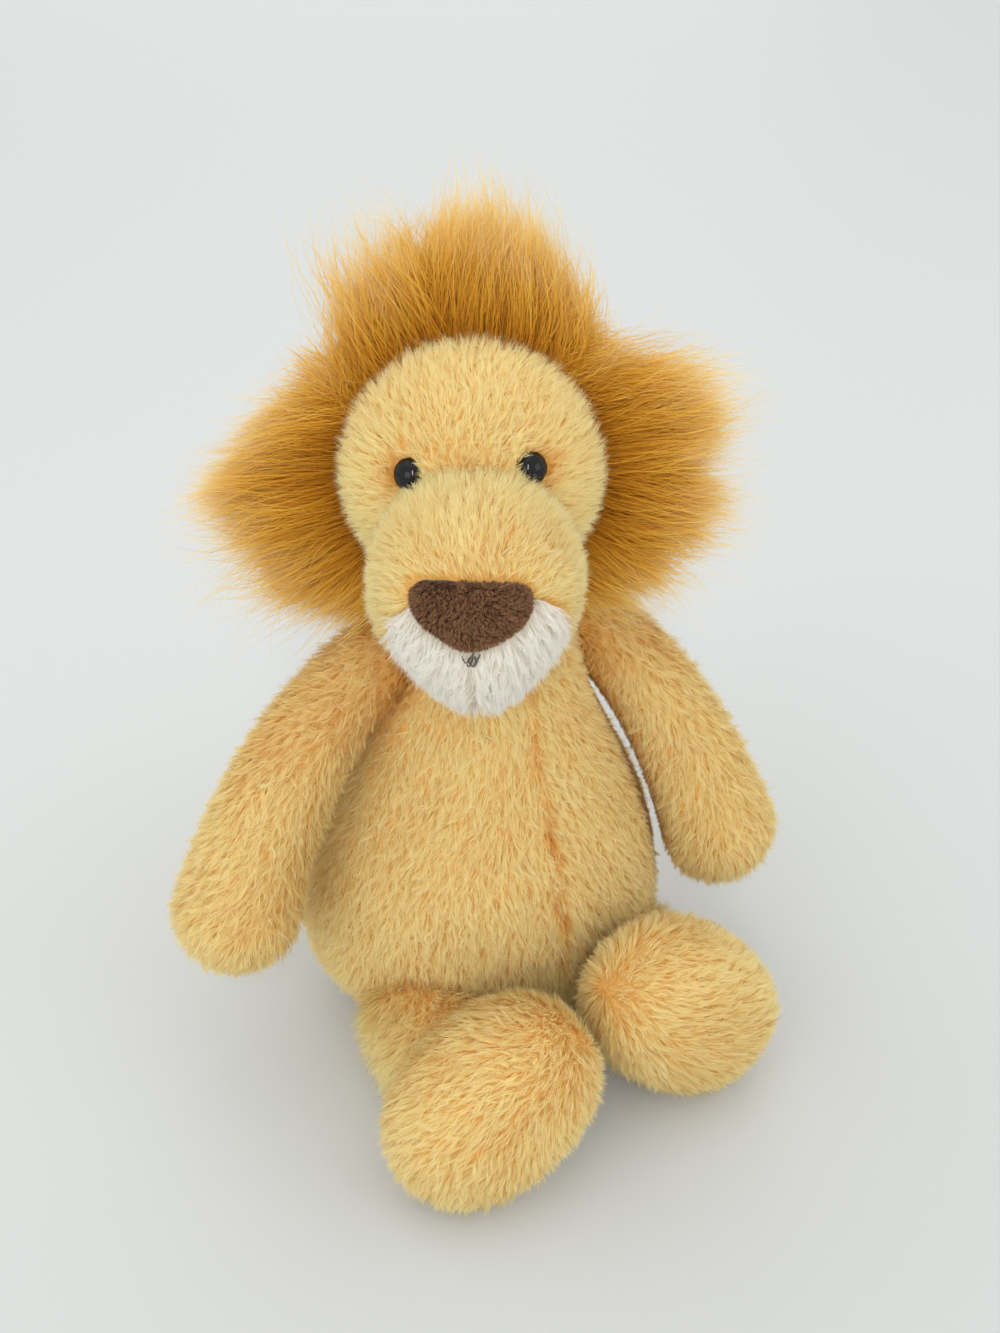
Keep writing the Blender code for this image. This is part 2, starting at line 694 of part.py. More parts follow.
def make_arm(bench, name, side):
    """An arm's cover and stuffing, cut flat where they meet the torso."""
    place = shoulder_placing(side)
    joint = bench.joint(f"shoulder_{name}_joint", place)
    root = place.translation

    def offset(values):
        out, forward, down = values
        return root + Vector((side * out, -forward, -down))

    bow, tip = offset(ARM_BOW[name]), offset(ARM_TIP[name])

    def spine(share):
        return root.lerp(bow, share).lerp(bow.lerp(tip, share), share)

    def girth(share):
        return ARM_ROOT_RADIUS + (ARM_PAW_RADIUS - ARM_ROOT_RADIUS) * share**ARM_SWELL

    length = sum((spine((i + 1) / LIMB_RINGS) - spine(i / LIMB_RINGS)).length for i in range(LIMB_RINGS))

    def shape(direction):
        return limb_point(direction, spine, girth, ARM_ROOT_RADIUS, ARM_PAW_RADIUS, length)

    sewn = bench.cutter(shoulder_dish(name, side))
    cover = as_object(ball(LIMB_SIDES, LIMB_RINGS, shape), f"arm_{name}_cover")
    bench.piece(cover, "body_plush", joint)
    thicken(cover, ARM_WALL)
    cut(cover, sewn)
    form = resized(ball(LIMB_SIDES, LIMB_RINGS, shape), ARM_WALL + STUFFING_GAP)
    stuffing = bench.piece(as_object(form, f"arm_{name}_stuffing"), "polyester_fibre", joint)
    cut(stuffing, sewn)


def shoulder_dish(name, side):
    """What the torso's side takes up as an arm swings past it, turned round the shoulder's axis."""
    place = shoulder_placing(side)
    heading = place.to_3x3() @ Vector((0, 0, 1))
    down = Vector((heading.z * side, 0, -heading.x * side))
    profile = [(0, GAP), (ARM_ROOT_RADIUS, GAP)]
    for i in range(DISH_STEPS + 1):
        away = SHOULDER_SEAT_RADIUS + (SHOULDER_DISH_RADIUS - SHOULDER_SEAT_RADIUS) * i / DISH_STEPS
        at = place.translation + down * away
        rise = 0
        for _ in range(ARC_STEPS):
            height = max(at.z + heading.z * rise, BELLY_HEIGHT)
            beyond = torso_girth_at(height)[0] - abs(at.x + heading.x * rise)
            rise += beyond * abs(heading.x)
        profile.append((away, rise + SHOULDER_CLEARANCE))
    bottom = -SHOULDER_DISH_RADIUS
    profile += [(SHOULDER_DISH_RADIUS, bottom), (0, bottom)]
    return turned(profile, f"arm_{name}_root_cutter", place, SOCKET_SIDES)


def shoulder_cutter(bench, name, side):
    """What flattens the torso where an arm is sewn on."""
    disc = cylinder(SHOULDER_SEAT_RADIUS, 0, OVERRUN)
    return bench.cutter(as_object(disc, f"shoulder_{name}_cutter", shoulder_placing(side)))


def hip_centre(side):
    return Vector((side * LEG_HALF_SPACING, -HIP_FORWARD, HIP_HEIGHT))


def stretch(mesh, direction, reach):
    """Draws the half of a form on the side of DIRECTION out by REACH, with straight walls between."""
    half = [face for face in mesh.faces if face.calc_center_median().dot(direction) > 0]
    drawn = bmesh.ops.extrude_face_region(mesh, geom=half)
    moved = [item for item in drawn["geom"] if isinstance(item, bmesh.types.BMVert)]
    bmesh.ops.translate(mesh, verts=moved, vec=direction * reach)
    bmesh.ops.delete(mesh, geom=half, context="FACES")


def hip_sweep(bench, name, side):
    """The room that a leg takes up as it swings from lying forward to hanging down."""
    radius = LEG_RADIUS + TURNING_GAP
    reach = BELLY_HALF_DEPTH + OVERRUN
    mesh = ball(SOCKET_SIDES, SOCKET_RINGS, lambda direction: direction * radius)
    stretch(mesh, Vector((0, -1, 0)), reach)
    stretch(mesh, Vector((0, 0, -1)), reach)
    room = as_object(mesh, f"hip_{name}_cutter", Matrix.Translation(hip_centre(side)))
    return [bench.cutter(room)]


def foot_point(direction):
    """A pad with full sides: toes at +Z, sole towards -Y."""
    power = FOOT_FULLNESS
    size = (abs(direction.x) ** power + abs(direction.y) ** power + abs(direction.z) ** power) ** (1 / power)
    return Vector(
        (
            FOOT_HALF_WIDTH * direction.x / size,
            FOOT_HALF_DEPTH * direction.y / size,
            FOOT_HALF_LENGTH * direction.z / size,
        )
    )


def foot_ball(name, side, inset):
    """The foot, turned and leaned, standing FLOOR_CUT into the floor before it is moved in or out."""
    turn = rotation("X", -FOOT_LEAN_DEG[name]) @ rotation("Y", -side * FOOT_TOE_IN_DEG[name])
    mesh = ball(FOOT_SIDES, FOOT_RINGS, foot_point)
    bmesh.ops.transform(mesh, matrix=turn, verts=mesh.verts)
    lowest = min(point.co.z for point in mesh.verts)
    place = Vector((side * LEG_HALF_SPACING, -HIP_FORWARD - LEG_REACH[name], -lowest - FLOOR_CUT))
    bmesh.ops.translate(mesh, verts=mesh.verts, vec=place)
    return resized(mesh, inset)


def make_leg(bench, name, side, floor):
    """A leg and its foot. The leg's end is cut by the foot, and both are open to each other."""
    hip = hip_centre(side)
    joint = bench.joint(f"hip_{name}_joint", Matrix.Translation(hip))
    reach = LEG_REACH[name]
    heading = Vector((0, -1, 0))

    def spine(share):
        return hip + heading * (reach * share)

    def shape(direction):
        return limb_point(direction, spine, lambda share: LEG_RADIUS, LEG_RADIUS, LEG_RADIUS, reach)

    foot_room = bench.cutter(as_object(foot_ball(name, side, -GAP), f"foot_{name}_room_cutter"))
    along = Matrix.Translation(hip) @ rotation("X", 90)
    root_low, root_high = -LEG_RADIUS - OVERRUN, 0
    opening = cylinder(LEG_OPENING_RADIUS, root_low, root_high, TURNED_STEPS)
    root = bench.cutter(as_object(opening, f"leg_{name}_root_cutter", along))
    cover = bench.piece(
        as_object(ball(LIMB_SIDES, LIMB_RINGS, shape), f"leg_{name}_cover"), "body_plush", joint
    )
    thicken(cover, LEG_WALL)
    cut(cover, foot_room, root, floor)
    form = resized(ball(LIMB_SIDES, LIMB_RINGS, shape), LEG_WALL + STUFFING_GAP)
    stuffing = bench.piece(as_object(form, f"leg_{name}_stuffing"), "polyester_fibre", joint)
    cut(stuffing, foot_room)

    ankle = cylinder(LEG_OPENING_RADIUS, 0, reach, TURNED_STEPS)
    opened = bench.cutter(as_object(ankle, f"foot_{name}_opening_cutter", along))
    cover = bench.piece(as_object(foot_ball(name, side, 0), f"foot_{name}_cover"), "body_plush", joint)
    thicken(cover, FOOT_WALL)
    cut(cover, opened, floor)
    form = foot_ball(name, side, FOOT_WALL + STUFFING_GAP)
    bench.piece(as_object(form, f"foot_{name}_stuffing"), "polyester_fibre", joint)


def make_tail(bench, floor):
    """A cord of plush from the back of the seat, and the tuft at its end, which rests on the floor."""
    back = torso_girth_at(TAIL_HEIGHT)[1] + TAIL_RADIUS * TAIL_STAND_OFF_SHARE
    root = Vector((0, back, TAIL_HEIGHT))
    joint = bench.joint("tail_joint", Matrix.Translation(root))
    start, curl = math.radians(TAIL_HEADING_DEG), math.radians(TAIL_CURL_DEG)
    bend = TAIL_LENGTH / curl

    def spine(share):
        """An arc that starts towards +Y and curls to the lion's left."""
        angle = start + curl * share
        return root + Vector(
            (bend * (math.cos(start) - math.cos(angle)), bend * (math.sin(angle) - math.sin(start)), 0)
        )

    def shape(direction):
        return limb_point(direction, spine, lambda share: TAIL_RADIUS, TAIL_RADIUS, TAIL_RADIUS, TAIL_LENGTH)

    end = spine(1)
    heading = (end - spine(1 - GAP)).normalized()
    middle = end + heading * (TUFT_LENGTH / 2 - TAIL_RADIUS)
    place = frame_along(heading, Vector((middle.x, middle.y, TUFT_RADIUS - FLOOR_CUT)))

    def tuft_point(direction):
        """A drop, drawn out to a point where the cord ends and full behind."""
        share = math.acos(max(-1, min(1, direction.z))) / math.pi
        slim = math.sin(math.pi * (1 - share) ** (1 / TUFT_POINT_SHARE)) if share < 1 else 0
        flat = Vector((direction.x, direction.y, 0))
        if flat.length > 0:
            flat.normalize()
        along = TUFT_LENGTH / 2 * math.cos(math.pi * share)
        return flat * (TUFT_RADIUS * max(slim, 0)) + Vector((0, 0, along))

    room = bench.cutter(
        as_object(resized(ball(LIMB_SIDES, LIMB_RINGS, tuft_point), -GAP), "tuft_room_cutter", place)
    )
    tail = bench.piece(as_object(ball(LIMB_SIDES, LIMB_RINGS, shape), "tail_cord"), "body_plush", joint)
    cut(tail, room)
    tuft = bench.piece(
        as_object(ball(LIMB_SIDES, LIMB_RINGS, tuft_point), "tail_tuft", place), "mane_pile", joint
    )
    cut(tuft, floor)


def main():
    clear_scene()
    bench = Bench()
    sweeps = [cutter for name, side in SIDES.items() for cutter in hip_sweep(bench, name, side)]
    shoulders = [shoulder_cutter(bench, name, side) for name, side in SIDES.items()]
    floor = make_torso(bench, sweeps, shoulders)
    pivot = Matrix.Translation(NECK) @ rotation("Z", HEAD_TURN_DEG)
    turn = bench.joint("neck_turn_joint", Matrix.Translation(NECK))
    nod = bench.joint("neck_nod_joint", pivot, turn)
    make_neck_wad(bench, turn)
    level, head, head_room, socket = make_head(bench, nod)
    make_mane(bench, level, head, nod, head_room, socket)
    for name, side in SIDES.items():
        make_arm(bench, name, side)
        make_leg(bench, name, side, floor)
    make_tail(bench, floor)


main()
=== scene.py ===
"""The looks of the plush lion: pile, mane, eyes, nose and light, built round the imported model."""

from math import ceil, cos, pi, radians, sin

import bmesh
import bpy
import numpy as np
from mathutils import Matrix, Vector
from mathutils.bvhtree import BVHTree
from mathutils.kdtree import KDTree
from numpy.linalg import norm


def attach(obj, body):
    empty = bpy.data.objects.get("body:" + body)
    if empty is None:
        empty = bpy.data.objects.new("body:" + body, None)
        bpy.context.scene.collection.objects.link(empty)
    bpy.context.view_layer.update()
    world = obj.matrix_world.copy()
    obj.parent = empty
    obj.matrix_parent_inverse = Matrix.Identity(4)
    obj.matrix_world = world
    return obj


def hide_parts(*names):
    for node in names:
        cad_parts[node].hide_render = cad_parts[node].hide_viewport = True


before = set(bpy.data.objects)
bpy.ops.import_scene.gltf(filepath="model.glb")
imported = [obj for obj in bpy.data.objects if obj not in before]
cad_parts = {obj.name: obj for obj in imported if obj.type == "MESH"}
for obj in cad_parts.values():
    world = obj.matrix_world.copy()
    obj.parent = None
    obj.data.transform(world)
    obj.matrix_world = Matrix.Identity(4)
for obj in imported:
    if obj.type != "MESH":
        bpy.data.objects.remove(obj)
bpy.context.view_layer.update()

RNG = np.random.default_rng(7)

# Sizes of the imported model, in metres
NECK = np.array((0, 0, 0.142))
NECK_RADIUS = 0.025
HEAD_RADIUS = 0.0335
HEAD_TURN = radians(-24)
MUZZLE = np.array((0, -0.0318, -0.0237))
MUZZLE_HALF = np.array((0.0258, 0.0330, 0.0285))
HEAD = (
    Matrix.Translation(NECK)
    @ Matrix.Rotation(HEAD_TURN, 4, "Z")
    @ Matrix.Translation((-0.0021, -0.003, 0.035))
    @ Matrix.Rotation(radians(-12), 4, "X")
    @ Matrix.Rotation(radians(-3), 4, "Y")
)
SIDES = {"left": 1, "right": -1}


def placed(matrix, points):
    m = np.array(matrix)
    return points @ m[:3, :3].T + m[:3, 3]


def turned(matrix, vectors):
    return vectors @ np.array(matrix)[:3, :3].T


def clamp(values):
    return np.clip(values, 0, 1)


def unit(vectors):
    return vectors / np.maximum(norm(vectors, axis=-1, keepdims=True), 1e-12)


def add(name, data):
    item = bpy.data.objects.new(name, data)
    bpy.context.scene.collection.objects.link(item)
    return item


# Colours, as the photograph shows them, in sRGB from 0 to 255
# The plush ramps run from root to tip; their darker, more orange roots are partly the pile's own colour and
# partly painted shade deep in the pile
PILE_DARK = (
    (0, (200, 124, 40)), (0.3, (231, 171, 80)), (0.65, (245, 205, 116)), (1, (251, 226, 150)),
)
PILE_PALE = (
    (0, (251, 212, 122)), (0.3, (255, 236, 162)), (0.6, (255, 246, 186)), (1, (255, 250, 212)),
)
MANE_DARK = (
    (0, (170, 101, 16)), (0.3, (211, 146, 31)), (0.65, (231, 180, 56)), (1, (245, 215, 128)),
)
MANE_PALE = (
    (0, (210, 140, 30)), (0.3, (238, 184, 54)), (0.65, (248, 212, 98)), (1, (255, 248, 222)),
)
CHIN_DARK = ((0, (232, 221, 202)), (0.5, (249, 244, 232)), (1, (254, 251, 244)))
CHIN_PALE = ((0, (244, 236, 220)), (0.5, (255, 252, 244)), (1, (255, 255, 251)))
NOSE_DARK = ((0, (72, 44, 28)), (0.6, (100, 66, 43)), (1, (124, 86, 60)))
NOSE_PALE = ((0, (104, 68, 45)), (0.6, (144, 104, 74)), (1, (172, 132, 98)))
FLOOR = (210, 214, 214)


def linear(colour):
    return tuple(
        value / 12.92 if value <= 0.04045 else ((value + 0.055) / 1.055) ** 2.4
        for value in (channel / 255 for channel in colour)
    )


def new_material(name, roughness, specular, sheen=0.0):
    material = bpy.data.materials.new(name)
    material.use_nodes = True
    shader = material.node_tree.nodes["Principled BSDF"]
    shader.inputs["Roughness"].default_value = roughness
    shader.inputs["Specular IOR Level"].default_value = specular
    shader.inputs["Sheen Weight"].default_value = sheen
    return material, material.node_tree, shader


def node(tree, kind, **values):
    made = tree.nodes.new(kind)
    for name, value in values.items():
        if name in made.inputs:
            made.inputs[name].default_value = value
        else:
            setattr(made, name, value)
    return made


def in_own_space(tree, kind, **values):
    """A node that reads the place in the object's own space."""
    made = node(tree, kind, **values)
    tree.links.new(tree.nodes.new("ShaderNodeTexCoord").outputs["Object"], made.inputs["Vector"])
    return made


def ramp(tree, stops, factor):
    made = tree.nodes.new("ShaderNodeValToRGB")
    steps = made.color_ramp.elements
    while len(steps) < len(stops):
        steps.new(0.5)
    for step, (place, colour) in zip(steps, stops):
        step.position = place
        step.color = (*linear(colour), 1)
    tree.links.new(factor, made.inputs["Fac"])
    return made.outputs["Color"]


def mixed(tree, factor, first, second):
    made = tree.nodes.new("ShaderNodeMix")
    made.data_type = "RGBA"
    for name, value in (("Factor", factor), ("A", first), ("B", second)):
        socket = made.inputs[name]
        if isinstance(value, bpy.types.NodeSocket):
            tree.links.new(value, socket)
        else:
            socket.default_value = value
    return made.outputs["Result"]


def strand_material(name, dark, pale, roughness=0.7, specular=0.12, through=0.0):
    """Fibre whose colour runs from root to tip (V) and from a dark to a pale strand (U)."""
    material, tree, shader = new_material(name, roughness, specular, 0.06)
    shader.inputs["Sheen Roughness"].default_value = 0.5
    place = node(tree, "ShaderNodeUVMap", uv_map="OFBake")
    split = tree.nodes.new("ShaderNodeSeparateXYZ")
    tree.links.new(place.outputs["UV"], split.inputs[0])
    across, along = split.outputs["X"], split.outputs["Y"]
    colour = mixed(tree, across, ramp(tree, dark, along), ramp(tree, pale, along))
    tree.links.new(colour, shader.inputs["Base Color"])
    if through:
        # Light passes through thin fibre
        glow = tree.nodes.new("ShaderNodeBsdfTranslucent")
        tree.links.new(colour, glow.inputs["Color"])
        blend = tree.nodes.new("ShaderNodeMixShader")
        blend.inputs[0].default_value = through
        tree.links.new(shader.outputs[0], blend.inputs[1])
        tree.links.new(glow.outputs[0], blend.inputs[2])
        tree.links.new(blend.outputs[0], tree.nodes["Material Output"].inputs["Surface"])
    return material


def backing_material(name, low, high, scale=900.0):
    """Packed pile at its roots: fine streaks and blotches of two colours, with a bump."""
    material, tree, shader = new_material(name, 0.9, 0.15, 0.2)
    fine = in_own_space(tree, "ShaderNodeTexNoise", Scale=scale, Detail=3.0, Roughness=0.6)
    broad = in_own_space(tree, "ShaderNodeTexNoise", Scale=scale / 9, Detail=2.0)
    first = ramp(tree, ((0.3, low), (0.72, high)), fine.outputs["Fac"])
    second = ramp(tree, ((0.3, low), (0.7, high)), broad.outputs["Fac"])
    tree.links.new(mixed(tree, 0.4, first, second), shader.inputs["Base Color"])
    bump = node(tree, "ShaderNodeBump", Strength=0.8, Distance=0.0004)
    tree.links.new(fine.outputs["Fac"], bump.inputs["Height"])
    tree.links.new(bump.outputs["Normal"], shader.inputs["Normal"])
    return material


def textured_material(name, kind, stops, roughness, specular, **values):
    """Moulded or spun stuff: a texture in the object's own space picks the colour off a ramp."""
    material, tree, shader = new_material(name, roughness, specular)
    texture = in_own_space(tree, kind, **values)
    tree.links.new(ramp(tree, stops, texture.outputs["Fac"]), shader.inputs["Base Color"])
    return material, shader


# Forms: the smooth surfaces of the model, with their normals


def directions(sides, rings):
    polar = np.linspace(0.0005, pi - 0.0005, rings + 1)[:, None]
    around = np.linspace(0, 2 * pi, sides, endpoint=False)[None, :]
    ring = np.sin(polar)
    return np.stack([ring * np.cos(around), ring * np.sin(around), np.cos(polar) + 0 * around], axis=-1)


FAR = 0.02


class Form:
    """A closed smooth surface, made of a grid of directions that a function moves."""

    def __init__(self, shape, sides=96, rings=72, place=None):
        points = shape(directions(sides, rings).reshape(-1, 3))
        if place is not None:
            points = placed(place, points)
        row, column = np.arange(rings)[:, None] * sides, np.arange(sides)
        a, b = row + column, row + (column + 1) % sides
        quads = np.stack([a, a + sides, b + sides, b], axis=-1).reshape(-1, 4)
        self.points = points
        self.triangles = np.concatenate([quads[:, [0, 1, 2]], quads[:, [0, 2, 3]]])
        corners = points[self.triangles]
        faces = np.cross(corners[:, 1] - corners[:, 0], corners[:, 2] - corners[:, 0])
        if (corners[:, 0] * faces).sum() < 0:
            self.triangles = self.triangles[:, ::-1]
            faces = -faces
        self.areas = norm(faces, axis=1) / 2
        normals = np.zeros_like(points)
        for corner in range(3):
            np.add.at(normals, self.triangles[:, corner], faces)
        self.normals = unit(normals)
        self.tree = BVHTree.FromPolygons(points.tolist(), self.triangles.tolist())

    def scatter(self, per_cm2):
        """Places spread evenly over the surface: the corners round each, and their shares in it."""
        count = int(self.areas.sum() * 1e4 * per_cm2)
        chosen = RNG.choice(len(self.areas), count, p=self.areas / self.areas.sum())
        u, v = RNG.random((2, count, 1))
        over = u + v > 1
        u, v = np.where(over, 1 - u, u), np.where(over, 1 - v, v)
        return self.triangles[chosen], np.concatenate([1 - u - v, u, v], axis=1)

    def at(self, corners, shares):
        return spread(self.points, corners, shares), unit(spread(self.normals, corners, shares))

    def depth(self, points):
        """How far each point lies inside the surface. It is negative outside, down to -FAR."""
        found = np.full(len(points), -FAR)
        low, high = self.points.min(axis=0) - FAR, self.points.max(axis=0) + FAR
        close = np.flatnonzero(np.all((points > low) & (points < high), axis=1))
        find = self.tree.find_nearest
        for i, (x, y, z) in zip(close.tolist(), points[close].tolist()):
            at, normal, _, away = find((x, y, z))
            height = (x - at[0]) * normal[0] + (y - at[1]) * normal[1] + (z - at[2]) * normal[2]
            found[i] = away if height < 0 else -away
        return found


# The torso: shares of its length in the dome and the seat, and how square the seat is
TORSO_DOME, TORSO_SEAT, SEAT_POWER = 0.20, 0.30, 2 / 2.8
BELLY, HALF_WIDTH, HALF_DEPTH = 0.038, 0.0540, 0.0470


def torso_shape(ways):
    share = np.arccos(np.clip(ways[:, 2], -1, 1)) / pi
    dome = clamp(share / TORSO_DOME) * pi / 2
    down = clamp((share - TORSO_DOME) / (1 - TORSO_DOME - TORSO_SEAT))
    seat = clamp((share - 1 + TORSO_SEAT) / TORSO_SEAT) * pi / 2
    swell = (1 - np.cos(pi * down**1.2)) / 2
    width = NECK_RADIUS + (HALF_WIDTH - NECK_RADIUS) * swell
    depth = NECK_RADIUS + (HALF_DEPTH - NECK_RADIUS) * swell
    girth = np.sin(dome) * np.maximum(np.cos(seat), 0) ** SEAT_POWER
    height = NECK[2] + NECK_RADIUS * np.cos(dome) + (BELLY - NECK[2]) * down
    height -= (BELLY + 0.0005) * np.sin(seat) ** SEAT_POWER
    height = np.maximum(height, 0.0002)
    around = np.arctan2(ways[:, 1], ways[:, 0])
    return np.stack([width * girth * np.cos(around), depth * girth * np.sin(around), height], axis=-1)


def muzzle_shape(ways, rise=0.0):
    down = np.maximum(0.3 - ways[:, 2:3], 0) / 1.3
    points = ways * (MUZZLE_HALF + rise)
    points[:, :1] *= 1 - 0.40 * down**1.8
    return points + MUZZLE


# Where a limb's round root ends and its round tip starts, as shares of its points
ROOT_END, TIP_START = 0.15, 0.75


def limb_shape(spine, girth, root_radius, tip_radius, length):
    reach = 1 - tip_radius / length

    def shape(ways):
        share = np.arccos(np.clip(ways[:, 2], -1, 1)) / pi
        root = clamp(share / ROOT_END) * pi / 2
        tip = clamp((share - TIP_START) / (1 - TIP_START)) * pi / 2
        at = clamp((share - ROOT_END) / (TIP_START - ROOT_END)) * reach
        near = share < ROOT_END
        along = np.where(near, -root_radius * np.cos(root), tip_radius * np.sin(tip))
        radius = np.where(near, root_radius * np.sin(root), girth(at / reach) * np.maximum(np.cos(tip), 0))
        heading = unit(spine(at + 0.001) - spine(at - 0.001))
        steep = np.abs(heading[:, 1:2]) <= np.abs(heading[:, 2:3])
        side = unit(np.where(steep, np.cross(heading, (0, 1, 0)), np.cross(heading, (0, 0, 1))))
        other = np.cross(heading, side)
        around = np.arctan2(ways[:, 1], ways[:, 0])[:, None]
        offset = (side * np.cos(around) + other * np.sin(around)) * radius[:, None]
        return spine(at) + heading * along[:, None] + offset

    return shape


def even_limb(spine, radius, length):
    return limb_shape(spine, lambda share: radius + 0 * share, radius, radius, length)


SHOULDER = np.array((0.02473, 0, 0.12479))
ARM_BOW = {"left": (0.0350, 0.0080, 0.0260), "right": (0.0420, 0.0030, 0.0205)}
ARM_TIP = {"left": (0.0452, 0.0330, 0.0915), "right": (0.0610, 0.0150, 0.0850)}
LEG_REACH = {"left": 0.0350, "right": 0.0450}
TOE_IN = {"left": 45.0, "right": 55.0}
FOOT_LEAN = {"left": -2.0, "right": 7.0}
ARM_ROOT, ARM_PAW, LEG_RADIUS = 0.0105, 0.0162, 0.0165
FOOT_HALF, FOOT_POWER = (0.0230, 0.0192, 0.0304), 2.3


def arm_spine(name):
    side = SIDES[name]
    root = SHOULDER * (side, 1, 1)
    places = (ARM_BOW[name], ARM_TIP[name])
    bow, tip = (root + (side * out, -front, -below) for out, front, below in places)

    def spine(share):
        share = np.asarray(share)[..., None]
        first = root + (bow - root) * share
        return first + (bow + (tip - bow) * share - first) * share

    return spine


def arm_form(name):
    spine = arm_spine(name)
    line = spine(np.linspace(0, 1, 14))
    length = norm(np.diff(line, axis=0), axis=1).sum()

    def girth(share):
        return ARM_ROOT + (ARM_PAW - ARM_ROOT) * share**1.6

    return Form(limb_shape(spine, girth, ARM_ROOT, ARM_PAW, length))


def hip(name):
    return np.array((SIDES[name] * 0.0315, -0.034, LEG_RADIUS - 0.0005))


def leg_form(name):
    start, reach = hip(name), LEG_REACH[name]

    def spine(share):
        return start + np.asarray(share)[..., None] * (0, -reach, 0)

    return Form(even_limb(spine, LEG_RADIUS, reach))


def foot_place(name):
    lean, turn = radians(-FOOT_LEAN[name]), radians(-SIDES[name] * TOE_IN[name])
    return Matrix.Rotation(lean, 4, "X") @ Matrix.Rotation(turn, 4, "Y")


def foot_form(name):
    def shape(ways):
        size = (np.abs(ways) ** FOOT_POWER).sum(axis=1, keepdims=True) ** (1 / FOOT_POWER)
        points = turned(foot_place(name), ways / size * FOOT_HALF)
        x, y, _ = hip(name)
        return points + (x, y - LEG_REACH[name], -points[:, 2].min() - 0.0005)

    return Form(shape)


# Strands


def spread(values, corners, shares):
    """Values at a form's points, carried to places between them."""
    return np.einsum("ij,ij...->i...", shares, values[corners])


def owners(roots, chosen):
    tree = KDTree(len(chosen))
    for i, point in enumerate(roots[chosen].tolist()):
        tree.insert(point, i)
    tree.balance()
    return np.array([tree.find(point)[1] for point in roots.tolist()])


def grow(roots, normals, combs, lengths, lift, per_clump=6, pull=0.45, shared=0.42, stray=0.16):
    """Paths of strands that lean from their normals towards their combing, drawn together into tufts."""
    count = len(roots)
    chosen = RNG.permutation(count)[: max(1, count // per_clump)]
    owner = owners(roots, chosen)
    combs = unit(combs - normals * np.sum(combs * normals, axis=1, keepdims=True))
    common = RNG.normal(size=(len(chosen), 3))[owner] * shared
    common -= normals * np.sum(common * normals, axis=1, keepdims=True) * 0.6
    own = RNG.normal(size=(count, 3)) * stray
    combs = unit(combs + common)
    tilt = np.radians(RNG.normal(size=len(chosen))[owner] * 7)
    start, end = np.radians(lift[0]) + tilt, np.radians(lift[1]) + tilt
    path = [roots]
    for share in (0.25, 0.75):
        angle = (start + (end - start) * share)[:, None]
        way = combs * np.cos(angle) + normals * np.sin(angle) + own * (0.4 + share)
        path.append(path[-1] + unit(way) * (lengths / 2)[:, None])
    path = np.stack(path, axis=1)
    leaders = path[chosen][owner]
    share = np.array((0, 0.5, 1)) ** 1.4 * pull
    return path + (leaders - path) * share[None, :, None], RNG.normal(size=len(chosen))[owner]


TAPER = 0.75


def strand_mesh(name, path, facing, widths, tones, material, soft):
    """Flat tapered ribbons along the paths, one mesh. Soft ones take their shading from what they grow on."""
    count, points = path.shape[:2]
    segments = points - 1
    heading = np.gradient(path, axis=1)
    shown = facing + RNG.normal(size=facing.shape) * (0.45 - 0.2 * soft)
    side = unit(np.cross(heading, shown[:, None, :]))
    share = np.arange(points) / segments
    narrow = np.where(share < TAPER, 1, (1 - share) / (1 - TAPER + 1e-9))
    profile = narrow * (0.72 + 0.28 * np.sin(share * pi))
    half = widths[:, None] * profile[None, :] / 2
    offset = side[:, :-1] * half[:, :-1, None]
    pairs = np.stack([path[:, :-1] - offset, path[:, :-1] + offset], axis=2).reshape(count, -1, 3)
    vertices = np.concatenate([pairs, path[:, -1:]], axis=1)
    each = vertices.shape[1]
    last = 2 * (segments - 1)
    one = [corners for a in range(0, last, 2) for corners in ((a, a + 1, a + 3), (a, a + 3, a + 2))]
    one = np.array([*one, (last, last + 1, last + 2)])
    triangles = (one[None] + (np.arange(count) * each)[:, None, None]).reshape(-1, 3)
    v = np.concatenate([np.repeat(share[:-1], 2), [1.0]])
    mesh = bpy.data.meshes.new(name)
    mesh.vertices.add(count * each)
    mesh.vertices.foreach_set("co", vertices.astype(np.float32).ravel())
    mesh.loops.add(triangles.size)
    mesh.loops.foreach_set("vertex_index", triangles.astype(np.int32).ravel())
    mesh.polygons.add(len(triangles))
    mesh.polygons.foreach_set("loop_start", np.arange(0, triangles.size, 3, dtype=np.int32))
    mesh.polygons.foreach_set("use_smooth", np.ones(len(triangles), bool))
    mesh.update(calc_edges=True)
    layer = mesh.uv_layers.new(name="OFBake")
    tones = np.clip(tones, 0.01, 0.99)
    uv = np.stack([np.repeat(tones, each), np.tile(np.clip(v, 0.01, 0.99), count)], axis=1)
    layer.data.foreach_set("uv", uv[triangles.ravel()].astype(np.float32).ravel())
    if soft:
        ribbon = unit(np.cross(side, heading))
        shading = unit(facing[:, None, :] * soft + ribbon * (1 - soft))
        shading = np.concatenate([np.repeat(shading[:, :-1], 2, axis=1), shading[:, -1:]], axis=1)
        normals = mesh.attributes.new("custom_normal", "FLOAT_VECTOR", "POINT")
        normals.data.foreach_set("vector", shading.astype(np.float32).ravel())
        mesh.update()
    mesh.materials.append(material)
    return add(name, mesh)


def above_floor(path):
    path[..., 2] = np.maximum(path[..., 2], 0.0004 + 0.0006 * RNG.random(path.shape[:1])[:, None])
    return path


def noise_at(points, scale, seed):
    """A smooth random value at each point, mostly between -1 and 1."""
    waves = np.random.default_rng(seed)
    total = 0
    for _ in range(6):
        way = unit(waves.normal(size=3))
        total = total + np.sin(points @ way / scale * waves.uniform(0.6, 1.5) + waves.uniform(0, 6.28))
    return total / 3.2


def stand_in(item, body, node_name):
    """Puts a piece in a node's place, on its body."""
    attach(item, body)
    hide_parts(node_name)


